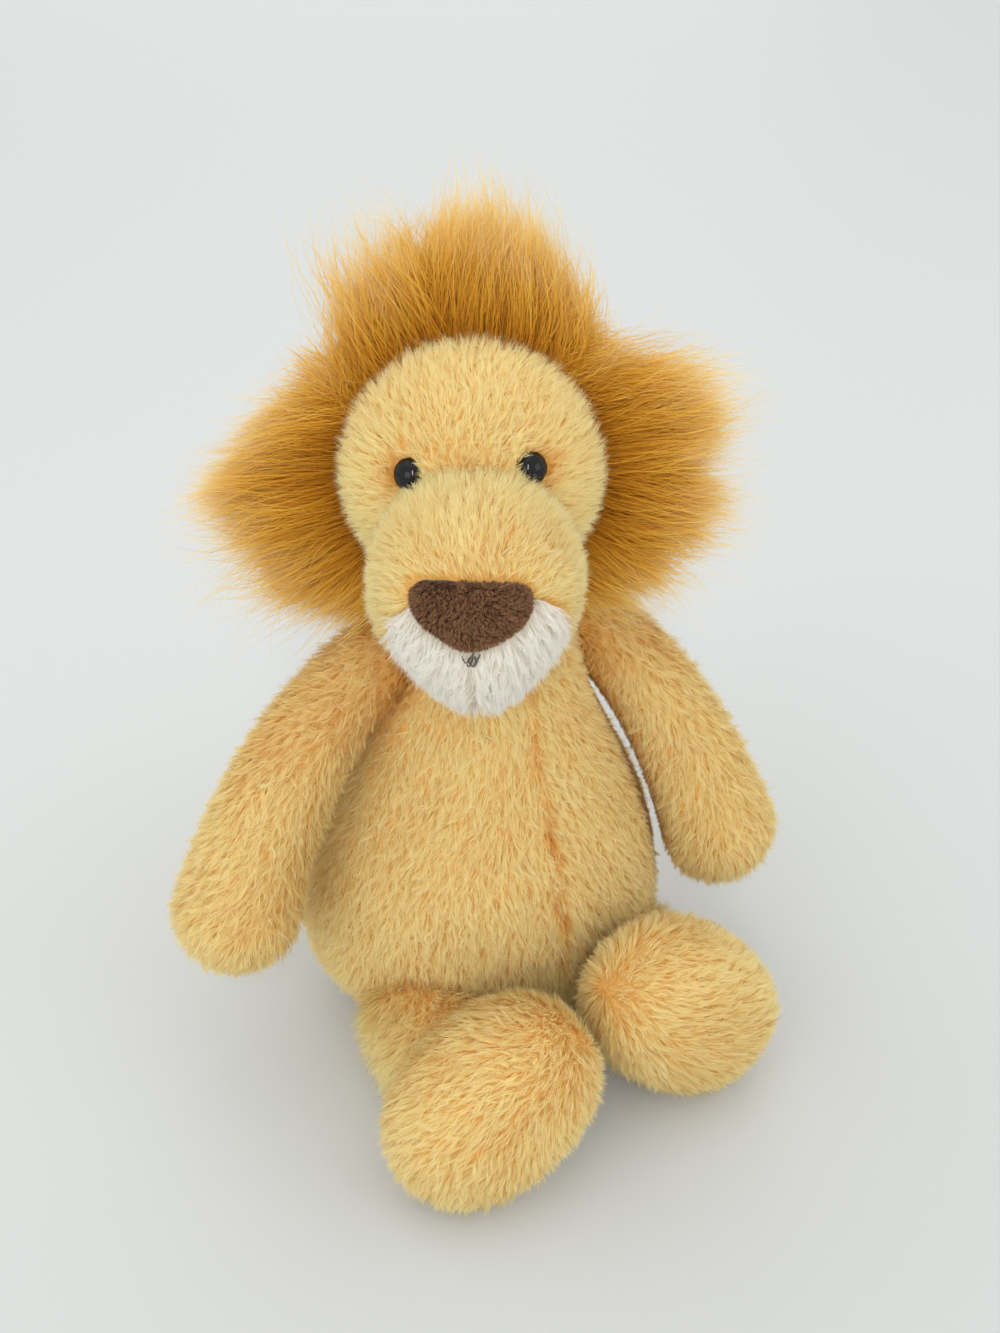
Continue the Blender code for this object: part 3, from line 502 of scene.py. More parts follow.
def skin(node_name, name, material, body, voxel=0.0016, smooth=8):
    """A cover rebuilt with a soft surface over the shape of its CAD node."""
    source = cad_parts[node_name]
    raw = source.data.copy()
    raw.materials.clear()
    item = add(name, raw)
    remesh = item.modifiers.new("soften", "REMESH")
    remesh.mode = "VOXEL"
    remesh.voxel_size = voxel
    remesh.use_smooth_shade = True
    relax = item.modifiers.new("relax", "SMOOTH")
    relax.factor = 0.5
    relax.iterations = smooth
    graph = bpy.context.evaluated_depsgraph_get()
    done = bpy.data.meshes.new_from_object(item.evaluated_get(graph))
    item.modifiers.clear()
    item.data = done
    done.materials.clear()
    done.materials.append(material)
    stand_in(item, body, node_name)
    return item


MOST_FACES = 180000


def finish_strands(name, body, slot, path, facing, widths, tones, material, soft=0.0):
    """Strands become pieces that ride a body, each with fewer than MOST_FACES faces, from front to back."""
    faces = 2 * path.shape[1] - 3
    order = np.argsort(path[:, 0, 1])
    parts = max(1, ceil(len(order) * faces / MOST_FACES))
    for part, rows in enumerate(np.array_split(order, parts)):
        label = name if parts == 1 else f"{name}_{part + 1}"
        item = strand_mesh(label, path[rows], facing[rows], widths[rows], tones[rows], material, soft)
        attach(item, body)


def pile(name, form, body, comb, material, length, lift, tone, bent=110, straight=560, width=0.00024,
         inside=(), keep=None, shorten=None, shade=None, toward=None, slot="body_plush", **style):
    """Bent and straight strands over a form, so many of each to a square centimetre.

    Roots deeper in another form than it allows, or refused by keep, are left out.
    """
    corners, shares = form.scatter(bent + straight)
    roots, normals = form.at(corners, shares)
    lengths = length * RNG.uniform(0.8, 1.12, len(roots))
    if shorten is not None:
        lengths *= spread(shorten(form.points), corners, shares)
    wanted = roots[:, 2] > 0.0025
    if keep is not None:
        wanted &= keep(roots)
    for other, allowed in inside:
        wanted &= spread(other.depth(form.points), corners, shares) < allowed
    # Painted shade: the strands' colour is made darker where neighbours leave little light
    shades = np.zeros(len(roots)) if shade is None else shade(corners, shares)
    roots, normals, lengths, shades = roots[wanted], normals[wanted], lengths[wanted], shades[wanted]
    path, clumped = grow(roots - normals * 0.0003, normals, comb(roots, normals), lengths, lift, **style)
    path = above_floor(path)
    if toward is not None:
        normals = unit(normals + toward)
    tones = (tone(roots) if callable(tone) else tone) - shades
    tones = tones + clumped * 0.06 + RNG.normal(size=len(roots)) * 0.06
    tones += noise_at(roots, 0.004, 5) * 0.06
    widths = width * RNG.uniform(0.75, 1.25, len(roots))
    first = RNG.random(len(roots)) < bent / (bent + straight)
    for label, rows, steps in ((name, first, 1), (f"{name}_fine", ~first, 2)):
        kept = path[rows, ::steps], normals[rows], widths[rows], tones[rows]
        finish_strands(label, body, slot, *kept, material, soft=0.65)


def pressed(*others):
    """Pile is shorter where a neighbour presses on it, most of all in front, between arm and belly."""

    def share(roots):
        shares = np.ones(len(roots))
        for other in others:
            shares = np.minimum(shares, np.clip(-other.depth(roots) / 0.011, 0.3, 1))
        apart = np.maximum((roots[:, 1] - 0.002) / 0.006, (roots[:, 2] - 0.102) / 0.010)
        return np.maximum(shares, clamp(apart) * 0.72)

    return share


# The deepest painted shade that a neighbour puts on the pile
DARKEST = 0.65


def painted_crease_shade(form, *others, reach=0.013, depth=0.75):
    """Painted shade: how much darker the pile's colour is made at each root, where a neighbour leaves little
    light.
    """
    away = np.max([other.depth(form.points) for other in others], axis=0)
    near = np.minimum(clamp(1 + away / reach) ** 1.5 * depth, DARKEST)
    return lambda corners, shares: spread(near, corners, shares)


def wander(points, amount, scale=0.006, seed=3):
    """A smooth drift that opens partings in combed pile."""
    return np.stack([noise_at(points, scale, seed + k) for k in range(3)], axis=-1) * amount


# Materials
plush_backing = backing_material("plush_backing", (222, 166, 82), (240, 196, 118))
chin_backing = backing_material("chin_backing", (224, 219, 210), (243, 240, 233))
mane_backing = backing_material("mane_backing", (150, 86, 10), (196, 130, 34), scale=500.0)
nose_backing = backing_material("nose_backing", (48, 30, 20), (84, 58, 42), scale=1600.0)
fibre = backing_material("polyester_fibre_fill", (226, 224, 218), (248, 247, 243), scale=700.0)
cotton = backing_material("pouch_cotton_cloth", (196, 186, 166), (224, 216, 200), scale=1500.0)
plush = strand_material("plush_pile", PILE_DARK, PILE_PALE, through=0.45)
chin_pile = strand_material("chin_pile", CHIN_DARK, CHIN_PALE, through=0.4)
mane_pile = strand_material("mane_pile", MANE_DARK, MANE_PALE, 0.6, 0.18, through=0.4)
nose_pile = strand_material("nose_velour_pile", NOSE_DARK, NOSE_PALE, 0.75)


# The forms of the covers, smooth
torso = Form(torso_shape, 128, 96)
ball = Form(lambda ways: ways * HEAD_RADIUS, place=HEAD)
muzzle = Form(muzzle_shape, place=HEAD)
arms, legs, feet = ({name: form(name) for name in SIDES} for form in (arm_form, leg_form, foot_form))

# The nose's frame, whose Z looks out of its middle, and the plane of the chin's seam
NOSE_TOP, NOSE_BOTTOM, NOSE_SIDE, NOSE_RISE, NOSE_ASIDE = 0.0074, 0.0088, 0.0149, 0.0022, 0.0012
NOSE_DROP = radians(9)
nose_look = Matrix.Rotation(-NOSE_DROP, 4, "X") @ Vector((0, -1, 0))
UPRIGHT = (
    Matrix.Translation(MUZZLE - (NOSE_ASIDE, 0, 0))
    @ nose_look.to_track_quat("Z", "Y").to_matrix().to_4x4()
    @ Matrix.Rotation(radians(-5), 4, "Z")
)
SEAM = Matrix.Translation(MUZZLE) @ Matrix.Rotation(radians(46), 4, "X")
SEAM_AT, CHIN_TOP = -0.0138, 0.0030


def in_head(points):
    return placed(HEAD.inverted(), points)


def nose_reach(points):
    """How far points of the head lie from the nose's middle, as a share of the nose's outline there."""
    local = placed(UPRIGHT.inverted(), in_head(points))
    around = np.arctan2(local[:, 1], local[:, 0])
    slope = radians(27)
    low = NOSE_BOTTOM * cos(slope) * 2**0.2
    sides = ((0, NOSE_SIDE), (pi, NOSE_SIDE), (slope - pi / 2, low), (-slope - pi / 2, low))
    edges = ((pi / 2, NOSE_TOP), *sides)
    total = sum(np.maximum(np.cos(around - facing) / away, 0) ** 5 for facing, away in edges)
    reach = np.hypot(local[:, 0], local[:, 1]) * total ** (1 / 5)
    return np.where(local[:, 2] > 0, reach, np.inf)


def on_chin(points):
    local = in_head(points)
    below = placed(SEAM.inverted(), local)[:, 1] < SEAM_AT
    return below & (placed(UPRIGHT.inverted(), local)[:, 1] < CHIN_TOP)


# The frame of each eye, whose Z looks out of the head
EYE_TURN, EYE_RISE, EYE_SUNK = radians(27.8), radians(9.5), 0.0014
EYES = {}
for name, side in SIDES.items():
    look = Vector((side * sin(EYE_TURN), -cos(EYE_TURN), 0)) * cos(EYE_RISE)
    look.z = sin(EYE_RISE)
    along = look.to_track_quat("Z", "Y").to_matrix().to_4x4()
    EYES[name] = HEAD @ Matrix.Translation(look * (HEAD_RADIUS - EYE_SUNK)) @ along


# Skins and fillings over the shapes of their CAD nodes
for name in ("torso", "head", "arm_left", "arm_right", "leg_left", "foot_left", "leg_right", "foot_right"):
    body = name.replace("foot", "leg")
    skin(f"{name}_cover", f"{name}_skin", plush_backing, body)
    skin(f"{name}_stuffing", f"{name}_filling", fibre, body, voxel=0.0022)
skin("muzzle_cover", "muzzle_skin", plush_backing, "head")
skin("chin_cover", "chin_skin", chin_backing, "head")
skin("muzzle_stuffing", "muzzle_filling", fibre, "head")
skin("neck_stuffing", "neck_filling", fibre, "neck", voxel=0.0022)
skin("bean_pouch", "bean_bag", cotton, "torso", voxel=0.0022)
skin("tail_cord", "tail_skin", plush_backing, "tail", voxel=0.0012)
skin("tail_tuft", "tail_tuft_core", mane_backing, "tail", voxel=0.0014)
skin("nose_patch", "nose_pad", nose_backing, "head", voxel=0.0009, smooth=6)


# Torso pile: combed down, parted along the front seam, with painted shade in the creases by its neighbours
# and in broken dashes along the seam
def seam_distance(roots):
    """How far roots lie to the left of the front seam, which ripples and leans out lower down."""
    low = clamp(1 - roots[:, 2] / 0.11)
    ripple = 0.0007 * np.sin(roots[:, 2] * 300) + 0.0004 * np.sin(roots[:, 2] * 1100)
    return roots[:, 0] - 0.0025 - 0.005 * low - ripple


def torso_comb(roots, normals):
    across = seam_distance(roots)
    part = clamp(1 - np.abs(across) / 0.005) * np.sign(across) * (roots[:, 1] < 0)
    combs = np.zeros_like(roots)
    combs[:, 2] = -1
    combs[:, 0] = part * 0.6 - 0.12
    return combs + wander(roots, 0.35)


def torso_tone(roots):
    seam = clamp(1.4 - np.abs(seam_distance(roots)) / 0.0010) * (roots[:, 1] < 0)
    broken = np.clip(0.55 + noise_at(roots, 0.0011, 71), 0.1, 1) * clamp((roots[:, 2] - 0.030) / 0.02)
    # Painted shade: strands along the seam's parting are darker, in broken dashes that fade out low down
    return 0.78 - 0.75 * seam * broken


# Pile grows on a little way inside a neighbour, so that none is missing when that moves away
NECK_CLEAR = [(ball, 0.011), (muzzle, 0.012)]
pile(
    "torso_pile", torso, "torso", torso_comb, plush, length=0.0060, lift=(44, 8), tone=torso_tone,
    inside=[*NECK_CLEAR, *((arms[s], 0.007) for s in SIDES), *((legs[s], 0.008) for s in SIDES)],
    shorten=pressed(*arms.values(), *feet.values(), muzzle),
    shade=painted_crease_shade(
        torso, *arms.values(), *legs.values(), *feet.values(), ball, muzzle, reach=0.0075, depth=0.9
    ),
)


# Arms: combed from shoulder to paw, with painted shade: darker and more orange towards the shoulder under the
# mane, and darker in the creases by the torso and head
def arm_tone(roots):
    # Painted shade under the mane: darker and more orange towards the shoulder
    return 0.78 - 0.25 * clamp((roots[:, 2] - 0.094) / 0.022)


def flow_along(spine):
    """The spine's course as points and headings, and a function that gives the heading nearest each root."""
    line = spine(np.linspace(0, 1, 40))
    flow = unit(np.gradient(line, axis=0))

    def heading(roots):
        return flow[np.argmin(norm(roots[:, None] - line[None], axis=2), axis=1)]

    return line, flow, heading


for side in SIDES:
    *_, arm_heading = flow_along(arm_spine(side))

    def arm_comb(roots, normals, heading=arm_heading):
        flow = heading(roots)
        return flow + (0, 0, -0.15) + np.cross(flow, normals) * 0.22 + wander(roots, 0.32)

    pile(
        f"arm_{side}_pile", arms[side], f"arm_{side}", arm_comb, plush, length=0.0062,
        lift=(44, 8), tone=arm_tone, inside=[(torso, 0.006), (ball, 0.003)], shorten=pressed(torso),
        shade=painted_crease_shade(arms[side], torso, ball, muzzle),
    )

# Legs and feet: feet are combed out from the toes, and calm so far round them. Both have painted shade where
# the torso, and for the feet the other foot, come close
CALM = {"left": 0.042, "right": 0.021}


def leg_comb(roots, normals):
    return wander(roots, 0.3) + (0, -0.6, -0.8)


for side, other in (("left", "right"), ("right", "left")):
    leg = f"leg_{side}"
    pile(
        f"{leg}_pile", legs[side], leg, leg_comb, plush, length=0.0068, lift=(50, 20), tone=0.82,
        inside=[(torso, 0.022), (feet[side], 0.001)],
        shade=painted_crease_shade(legs[side], torso, depth=0.2, reach=0.004),
        shorten=lambda points: 1 + 0.5 * clamp((np.abs(points[:, 0]) - 0.038) / 0.008),
    )
    middle = (feet[side].points.min(axis=0) + feet[side].points.max(axis=0)) / 2
    toe = middle + turned(foot_place(side), (0, -0.0165, 0.0265))
    laid = turned(foot_place(side), (SIDES[side] * 0.35, -0.25, -0.9))

    def foot_comb(roots, normals, toe=toe, laid=laid, calm=CALM[side]):
        away = roots - toe
        near = clamp(1.25 - norm(away, axis=1, keepdims=True) / calm)
        combs = unit(away) + unit(np.cross(normals, away)) * 0.45
        return combs * (1 - near) + laid * (near + 0.25) + wander(roots, 0.55, 0.006, 11)

    pile(
        f"foot_{side}_pile", feet[side], leg, foot_comb, plush, length=0.0058, lift=(42, 5),
        tone=0.8, per_clump=7, pull=0.5, shared=0.34, inside=[(legs[side], 0.004), (torso, 0.002)],
        shade=painted_crease_shade(feet[side], torso, feet[other], depth=0.35, reach=0.008),
    )

# Head: short and upright, spreading from the muzzle, with painted shade where the muzzle and torso come close
EYE_ROOM = 0.0039


def head_keep(roots):
    keep = in_head(roots)[:, 1] < 0
    for place in EYES.values():
        local = placed(place.inverted(), roots)
        keep &= np.hypot(local[:, 0], local[:, 1]) > EYE_ROOM
    return keep


def head_comb(roots, normals):
    local = in_head(roots)
    combs = turned(HEAD, unit(local - (0, -0.030, -0.012)))
    for place in EYES.values():
        away = roots - np.array(place.translation)
        near = clamp(1 - norm(away, axis=1, keepdims=True) / 0.009)
        combs = combs + unit(away) * near * 0.3
    return combs + wander(roots, 0.28, 0.005, 21)


def head_tone(roots):
    """Cheeks paler, as painted light where the sides of the head turn from the light; orange round the outer
    corners of the eyes and on the bridge of the snout.
    """
    local = in_head(roots)
    tone = 0.88 + 0.14 * clamp((np.abs(local[:, 0]) - 0.012) / 0.008) * (local[:, 2] < 0.004)
    for name, place in EYES.items():
        beside = placed(place.inverted(), roots)
        away = np.hypot(beside[:, 0] - SIDES[name] * 0.0016, beside[:, 1] + 0.0014)
        tone -= clamp(1.2 - away / 0.0058) * 0.85
    bridge = np.hypot(local[:, 0], (local[:, 2] - 0.0035) * 1.5)
    return tone - clamp(1 - bridge / 0.012) * 0.2


def near_eyes(roots):
    share = np.ones(len(roots))
    for place in EYES.values():
        away = norm(roots - np.array(place.translation), axis=1)
        share = np.minimum(share, np.clip((away - 0.001) / 0.006, 0.7, 1))
    return share


FACE = {"bent": 160, "width": 0.00021}
pile(
    "head_pile", ball, "head", head_comb, plush, straight=760, length=0.0050, lift=(56, 22), tone=head_tone,
    keep=head_keep, inside=[(muzzle, 0.0005), (torso, 0.001)], shorten=near_eyes, stray=0.2,
    shade=painted_crease_shade(ball, muzzle, torso, reach=0.005, depth=0.12),
    toward=turned(HEAD, (0, -0.35, 0.1)), **FACE,
)


# Muzzle, above the seam: short, combed away from the nose
def muzzle_comb(roots, normals):
    local = in_head(roots)
    combs = unit(local - (0, -0.0640, -0.0230))
    combs[:, 2] = np.maximum(combs[:, 2], -0.15)
    return turned(HEAD, combs) + wander(roots, 0.42, 0.005, 31)


def muzzle_rim(roots):
    """The pile stands taller where the muzzle meets the forehead, and on the low right cheek."""
    local = in_head(roots)
    cheek = norm(local - (-0.024, -0.036, -0.036), axis=1)
    brow = clamp((local[:, 2] + 0.010) / 0.012)
    return 1 + 0.4 * brow + 0.7 * clamp(1.3 - cheek / 0.012)


def muzzle_tone(roots):
    patches = clamp(noise_at(roots, 0.0030, 61) - 0.25)
    local = in_head(roots)
    centre = clamp(1 - np.hypot(local[:, 0], local[:, 2] + 0.014) / 0.014)
    return 0.9 - patches * (0.12 + 0.35 * centre)


MUZZLE_CLEAR = [(ball, 0.0015), (torso, 0.001)]
NOSE_EDGE = 0.97
pile(
    "muzzle_pile", muzzle, "head", muzzle_comb, plush, straight=760, length=0.0046, lift=(54, 20),
    tone=muzzle_tone, keep=lambda roots: (nose_reach(roots) > NOSE_EDGE) & ~on_chin(roots),
    inside=MUZZLE_CLEAR, stray=0.2, shorten=muzzle_rim, **FACE,
)


# Chin: white, combed down from the nose and parted under it
def from_parting(local):
    return local[:, 0] + 0.0010


def chin_comb(roots, normals):
    local = in_head(roots)
    combs = local - (0, -0.052, 0.004)
    combs[:, 1] *= 0.4
    across = from_parting(local)
    parted = np.sign(across) * clamp(1 - np.abs(across) / 0.004)
    combs = unit(combs)
    combs[:, 0] += parted * 0.7
    return turned(HEAD, combs) + wander(roots, 0.28, 0.004, 41)


def chin_tone(roots):
    local = in_head(roots)
    parting = clamp(1 - np.abs(from_parting(local)) / 0.0012)
    return 0.86 + np.clip((local[:, 2] + 0.030) * 12, -0.15, 0.1) - parting * 0.5


pile(
    "chin_pile", muzzle, "head", chin_comb, chin_pile, straight=700, length=0.0056, lift=(46, 12),
    tone=chin_tone, keep=lambda roots: (nose_reach(roots) > NOSE_EDGE) & on_chin(roots),
    inside=MUZZLE_CLEAR, slot="chin_plush", **FACE,
)

# Nose: short dense velour over its pad
nose_form = Form(lambda ways: muzzle_shape(ways, NOSE_RISE), 256, 192, place=HEAD)


def nose_comb(roots):
    return wander(roots, 0.9, 0.003, 51) + (0, 0, -1)


corners, shares = nose_form.scatter(2600)
roots, normals = nose_form.at(corners, shares)
reach = nose_reach(roots)
inside = reach < 1.0
roots, normals, reach = roots[inside], normals[inside], reach[inside]
roots = roots - normals * (0.0002 + 0.0020 * clamp((reach - 0.86) / 0.14)[:, None] ** 2)
outward = roots - roots.mean(axis=0)
lean = unit(normals + unit(outward) * (clamp((reach - 0.8) / 0.2) * 0.9)[:, None])
path, clumped = grow(
    roots, lean, nose_comb(roots), 0.0015 * RNG.uniform(0.8, 1.2, len(roots)), (72, 44),
    per_clump=7, pull=0.5, stray=0.3,
)
finish_strands(
    "nose_pile", "head", "nose_velour", path, lean, 0.00019 * RNG.uniform(0.8, 1.2, len(roots)),
    clamp(0.5 + clumped * 0.16 + RNG.normal(size=len(roots)) * 0.16), nose_pile, soft=0.4,
)


# Eyes and threads are made of rings of points
def circle(radius, height, steps=56):
    """Points round Z, or a single one where the radius is 0."""
    angles = [2 * pi * k / steps for k in range(steps if radius else 1)]
    return [Vector((radius * cos(a), radius * sin(a), height)) for a in angles]


def tube(mesh, rings):
    """Joins rings of points that go anticlockwise as seen from the first ring."""
    rings = [[mesh.verts.new(point) for point in points] for points in rings]
    for first, second in zip(rings, rings[1:]):
        for k in range(max(len(first), len(second))):
            corners = [(first, k), (second, k), (second, k + 1), (first, k + 1)]
            corners = dict.fromkeys(points[i % len(points)] for points, i in corners)
            mesh.faces.new(list(corners)).smooth = True
    return rings


def on_head(mesh, name, material, node_name):
    data = bpy.data.meshes.new(name)
    mesh.to_mesh(data)
    mesh.free()
    data.materials.append(material)
    stand_in(add(name, data), "head", node_name)


# Eyes: glossy beads with a shank
bead, shader = textured_material(
    "eye_bead", "ShaderNodeTexNoise", ((0.35, (5, 5, 6)), (0.7, (14, 13, 13))), 0.4, 0.0,
    Scale=350.0, Detail=3.0,
)
shader.inputs["Coat Weight"].default_value = 0.7
shader.inputs["Coat Roughness"].default_value = 0.03
BEAD_RADIUS, BEAD_HEIGHT, SHANK_RADIUS = 0.0043, 0.0036, 0.0012
dome_angles = [pi / 2 * i / 14 for i in range(15)]
dome = [(BEAD_RADIUS * sin(a), BEAD_HEIGHT * cos(a)) for a in dome_angles]
shank = [(BEAD_RADIUS - 0.00005, -0.00008), (SHANK_RADIUS, -0.00010), (SHANK_RADIUS, -0.0068), (0, -0.0070)]
for name, place in EYES.items():
    mesh = bmesh.new()
    tube(mesh, [[place @ point for point in circle(*size)] for size in (*dome, *shank)])
    on_head(mesh, f"eye_{name}_bead", bead, f"eye_{name}")

# Mouth: a few dark threads under the nose
thread, _ = textured_material(
    "stitch_thread_fibre", "ShaderNodeTexWave", ((0.2, (78, 71, 66)), (0.8, (136, 127, 120))), 0.8, 0.2,
    Scale=900.0, Distortion=2.0,
)
THREADS, THREAD_RADIUS, THREAD_STEPS = 7, 0.00017, 12
drop = NOSE_DROP - (NOSE_BOTTOM + NOSE_RISE) / MUZZLE_HALF[1]
out = unit(np.array((-0.0013 / MUZZLE_HALF[0], -cos(drop), sin(drop))))
seat = out * MUZZLE_HALF + MUZZLE
mesh = bmesh.new()
for _ in range(THREADS):
    middle = RNG.normal(size=2) * (0.0006, 0.0003) - (0.0002, 0.0007)
    reach = RNG.uniform(0.0007, 0.0014)
    slant, height = RNG.normal() * 0.35 + 0.5, RNG.uniform(0.0026, 0.0034)
    half = np.array((cos(slant), sin(slant))) * reach
    points = []
    for i in range(THREAD_STEPS + 1):
        t = i / THREAD_STEPS
        x, z = middle - half + half * 2 * t
        points.append(Vector(seat) + Vector((x, 0, z)) + Vector(out) * (height * sin(pi * t)))
    rings = []
    for i, point in enumerate(points):
        turn = (points[min(i + 1, THREAD_STEPS)] - points[max(i - 1, 0)]).to_track_quat("Z", "Y")
        rings.append([HEAD @ (point + turn @ spoke) for spoke in circle(THREAD_RADIUS, 0, 8)])
    last, *_, first = tube(mesh, rings[::-1])
    mesh.faces.new(first[::-1])
    mesh.faces.new(last)
on_head(mesh, "mouth_threads", thread, "mouth_stitch")

# Mane: directions are given by their angle off the head's facing axis and by that round it, 0 upwards
MANE_REACH, MANE_BACK, MANE_RIM = 0.0655, 0.0520, radians(93)
MANE_TOP = 0.2558

# How far the mane reaches at each angle round the face, as a share of MANE_REACH
OUTLINE = {
    0: 0.97, 8: 0.99, 16: 0.93, 24: 0.84, 32: 0.80, 40: 0.80, 48: 0.73, 56: 0.68, 64: 0.75, 72: 0.96,
    80: 1.05, 88: 1.03, 96: 0.97, 104: 1.05, 112: 1.08, 120: 0.97, 128: 0.95, 150: 0.70, 180: 0.56,
    210: 0.70, 228: 0.94, 236: 1.05, 244: 1.04, 252: 1.05, 260: 1.17, 268: 1.10, 276: 0.95, 284: 0.84,
    292: 0.83, 300: 0.86, 308: 0.71, 316: 0.64, 321: 0.66, 326: 0.78, 332: 0.83, 340: 0.87, 348: 0.95,
    360: 0.97,
}
# How far wisps stand out of that outline, in millimetres
WISPS = {
    0: 17, 8: 17, 24: 12, 40: 7, 56: 6, 64: 11, 72: 15, 88: 15, 96: 19, 104: 15, 120: 17, 128: 14, 150: 6,
    210: 10, 228: 17, 236: 17, 244: 22, 252: 22, 260: 10, 276: 6, 284: 9, 300: 7, 312: 10, 324: 22,
    332: 23, 340: 19, 348: 17, 360: 17,
}

# The angles that locks are drawn to
TUFTS = np.array((-26, 6, 82, 105, 130, 226, 242, 263, 334, 366))


def looked_up(table, around):
    return np.interp(np.degrees(around) % 360, list(table), list(table.values()))


def mane_way(away, around):
    ring = np.sin(away)
    return np.stack([ring * np.sin(around), -np.cos(away), ring * np.cos(around)], axis=-1)


def mane_radius(away, around):
    reach = MANE_REACH * looked_up(OUTLINE, around)
    part = clamp((away - MANE_RIM) / (pi - MANE_RIM))
    return reach + (MANE_BACK - reach) * (1 - np.cos(pi * part)) / 2


LEVEL = Matrix.Translation(NECK) @ Matrix.Rotation(HEAD_TURN, 4, "Z") @ Matrix.Translation((0, 0, 0.0015))
UNDERSIDE = (radians(10), radians(-27))
GOLDEN_ANGLE = 2.399963


def lifted(points):
    """Points kept above the mane's underside, apart from what hangs down beside and behind the neck."""
    local = placed(LEVEL.inverted(), points)
    slopes = [(sin(a), cos(a)) for a in UNDERSIDE]
    height = np.min([local[..., 1] * s + local[..., 2] * c for s, c in slopes], axis=0)
    beside = clamp((np.hypot(local[..., 0], np.maximum(local[..., 1], 0)) - 0.028) / 0.015)
    lack = np.maximum(-(0.005 + 0.020 * beside) - height, 0)
    points = points.copy()
    points[..., 2] += lack * 1.02
    return points


def mane_strands(name, locks, each, low, high, root_radius, segments, width, length, tone=0.45,
                 loose=0.0024, gather=0.5, sweep=(0, 8), curl=0.0030, wispy=False, droop=0.0):
    """Strands in locks, from roots between two angles off the facing axis out to the mane's form.

    Wispy ones stand out of it, and droop lets those behind hang down.
    """
    low, high = radians(low), radians(high)
    even = (np.arange(locks) + 0.5) / locks
    away = np.arccos(cos(low) + (cos(high) - cos(low)) * even)
    around = (np.arange(locks) * GOLDEN_ANGLE + RNG.normal(size=locks) * 0.02) % (2 * pi)
    degrees = np.degrees(around)
    nearest = TUFTS[np.argmin(np.abs(degrees[:, None] - TUFTS[None]), axis=1)]
    shift = np.clip((nearest - degrees) * gather, -9, 9) + RNG.normal(size=locks) * 4
    tip_around = np.radians(degrees + shift)
    tip_away = np.minimum(away + np.radians(RNG.uniform(*sweep, locks)), radians(178))
    tip_radius = mane_radius(tip_away, tip_around) * RNG.uniform(*length, locks)
    crown = clamp(np.cos(tip_around) * 1.5 - 0.5)
    if wispy:
        tip_radius += looked_up(WISPS, tip_around) / 1000 * RNG.uniform(0.3, 1.1, locks)
        tip_away = tip_away + radians(18) * crown
    bend = RNG.normal(size=(locks, 3)) * curl
    shade = RNG.normal(size=locks)
    lock = np.repeat(np.arange(locks), each)
    count = len(lock)
    root_away = away[lock] + RNG.normal(size=count) * 0.07
    root_around = around[lock] + RNG.normal(size=count) * 0.08
    ways = mane_way(root_away, root_around)
    roots = ways * root_radius(root_away, root_around)[:, None]
    share = RNG.uniform(0.82, 1.04, count)
    tips = mane_way(tip_away, tip_around)
    behind = clamp((tip_away - MANE_RIM - 0.1) / 0.7)
    tips[:, 2] -= behind * droop
    tips = (unit(tips) * tip_radius[:, None])[lock]
    tips = roots + (tips - roots) * share[:, None] + RNG.normal(size=(count, 3)) * loose
    reach = norm(tips - roots, axis=1, keepdims=True)
    bow = roots + ways * reach * 0.5 + bend[lock] + RNG.normal(size=(count, 3)) * 0.0008
    t = np.linspace(0, 1, segments + 1)[None, :, None]
    path = roots[:, None] * (1 - t) ** 2 + bow[:, None] * 2 * t * (1 - t) + tips[:, None] * t**2
    ripple = np.sin(t * RNG.uniform(4, 9, (count, 1, 1)) + RNG.uniform(0, 6.28, (count, 1, 1)))
    path += ripple * t * RNG.normal(size=(count, 1, 3)) * 0.0005
    facing = turned(HEAD, ways)
    path = placed(HEAD, path)
    highest = path[..., 2].max(axis=1)
    shrink = np.minimum(1, (MANE_TOP - path[:, 0, 2]) / np.maximum(highest - path[:, 0, 2], 1e-6))
    path = lifted(path[:, :1] + (path - path[:, :1]) * shrink[:, None, None])
    clear = np.ones(count, bool)
    for step in (0, segments // 2):
        clear &= (torso.depth(path[:, step]) < 0.001) & (muzzle.depth(path[:, step]) < 0.0005)
    path, facing, lock = path[clear], facing[clear], lock[clear]
    tones = tone - 0.12 * crown[lock] + shade[lock] * 0.14 + RNG.normal(size=len(lock)) * 0.11
    widths = width * RNG.uniform(0.7, 1.3, len(lock))
    finish_strands(name, "head", "mane_pile", path, facing, widths, tones, mane_pile)


MANE_ROOT = HEAD_RADIUS * 0.985


def on_ball(away, around):
    return np.full(len(away), MANE_ROOT)


def on_hood(away, around):
    rise = clamp((away - radians(86)) / radians(10))
    return MANE_ROOT + (mane_radius(away, around) * 0.56 - MANE_ROOT + 0.004) * rise


def reshape(item, change):
    """Moves the points of a piece to where the function puts them."""
    points = np.empty(len(item.data.vertices) * 3)
    item.data.vertices.foreach_get("co", points)
    item.data.vertices.foreach_set("co", change(points.reshape(-1, 3)).ravel())
    item.data.update()


def halfway_to_head(points):
    local = in_head(points)
    radius = norm(local, axis=1, keepdims=True)
    local *= np.where(radius > HEAD_RADIUS, (HEAD_RADIUS + (radius - HEAD_RADIUS) * 0.5) / radius, 1)
    return placed(HEAD, local)


hood = skin("mane", "mane_hood", mane_backing, "head", voxel=0.002, smooth=10)
reshape(hood, halfway_to_head)

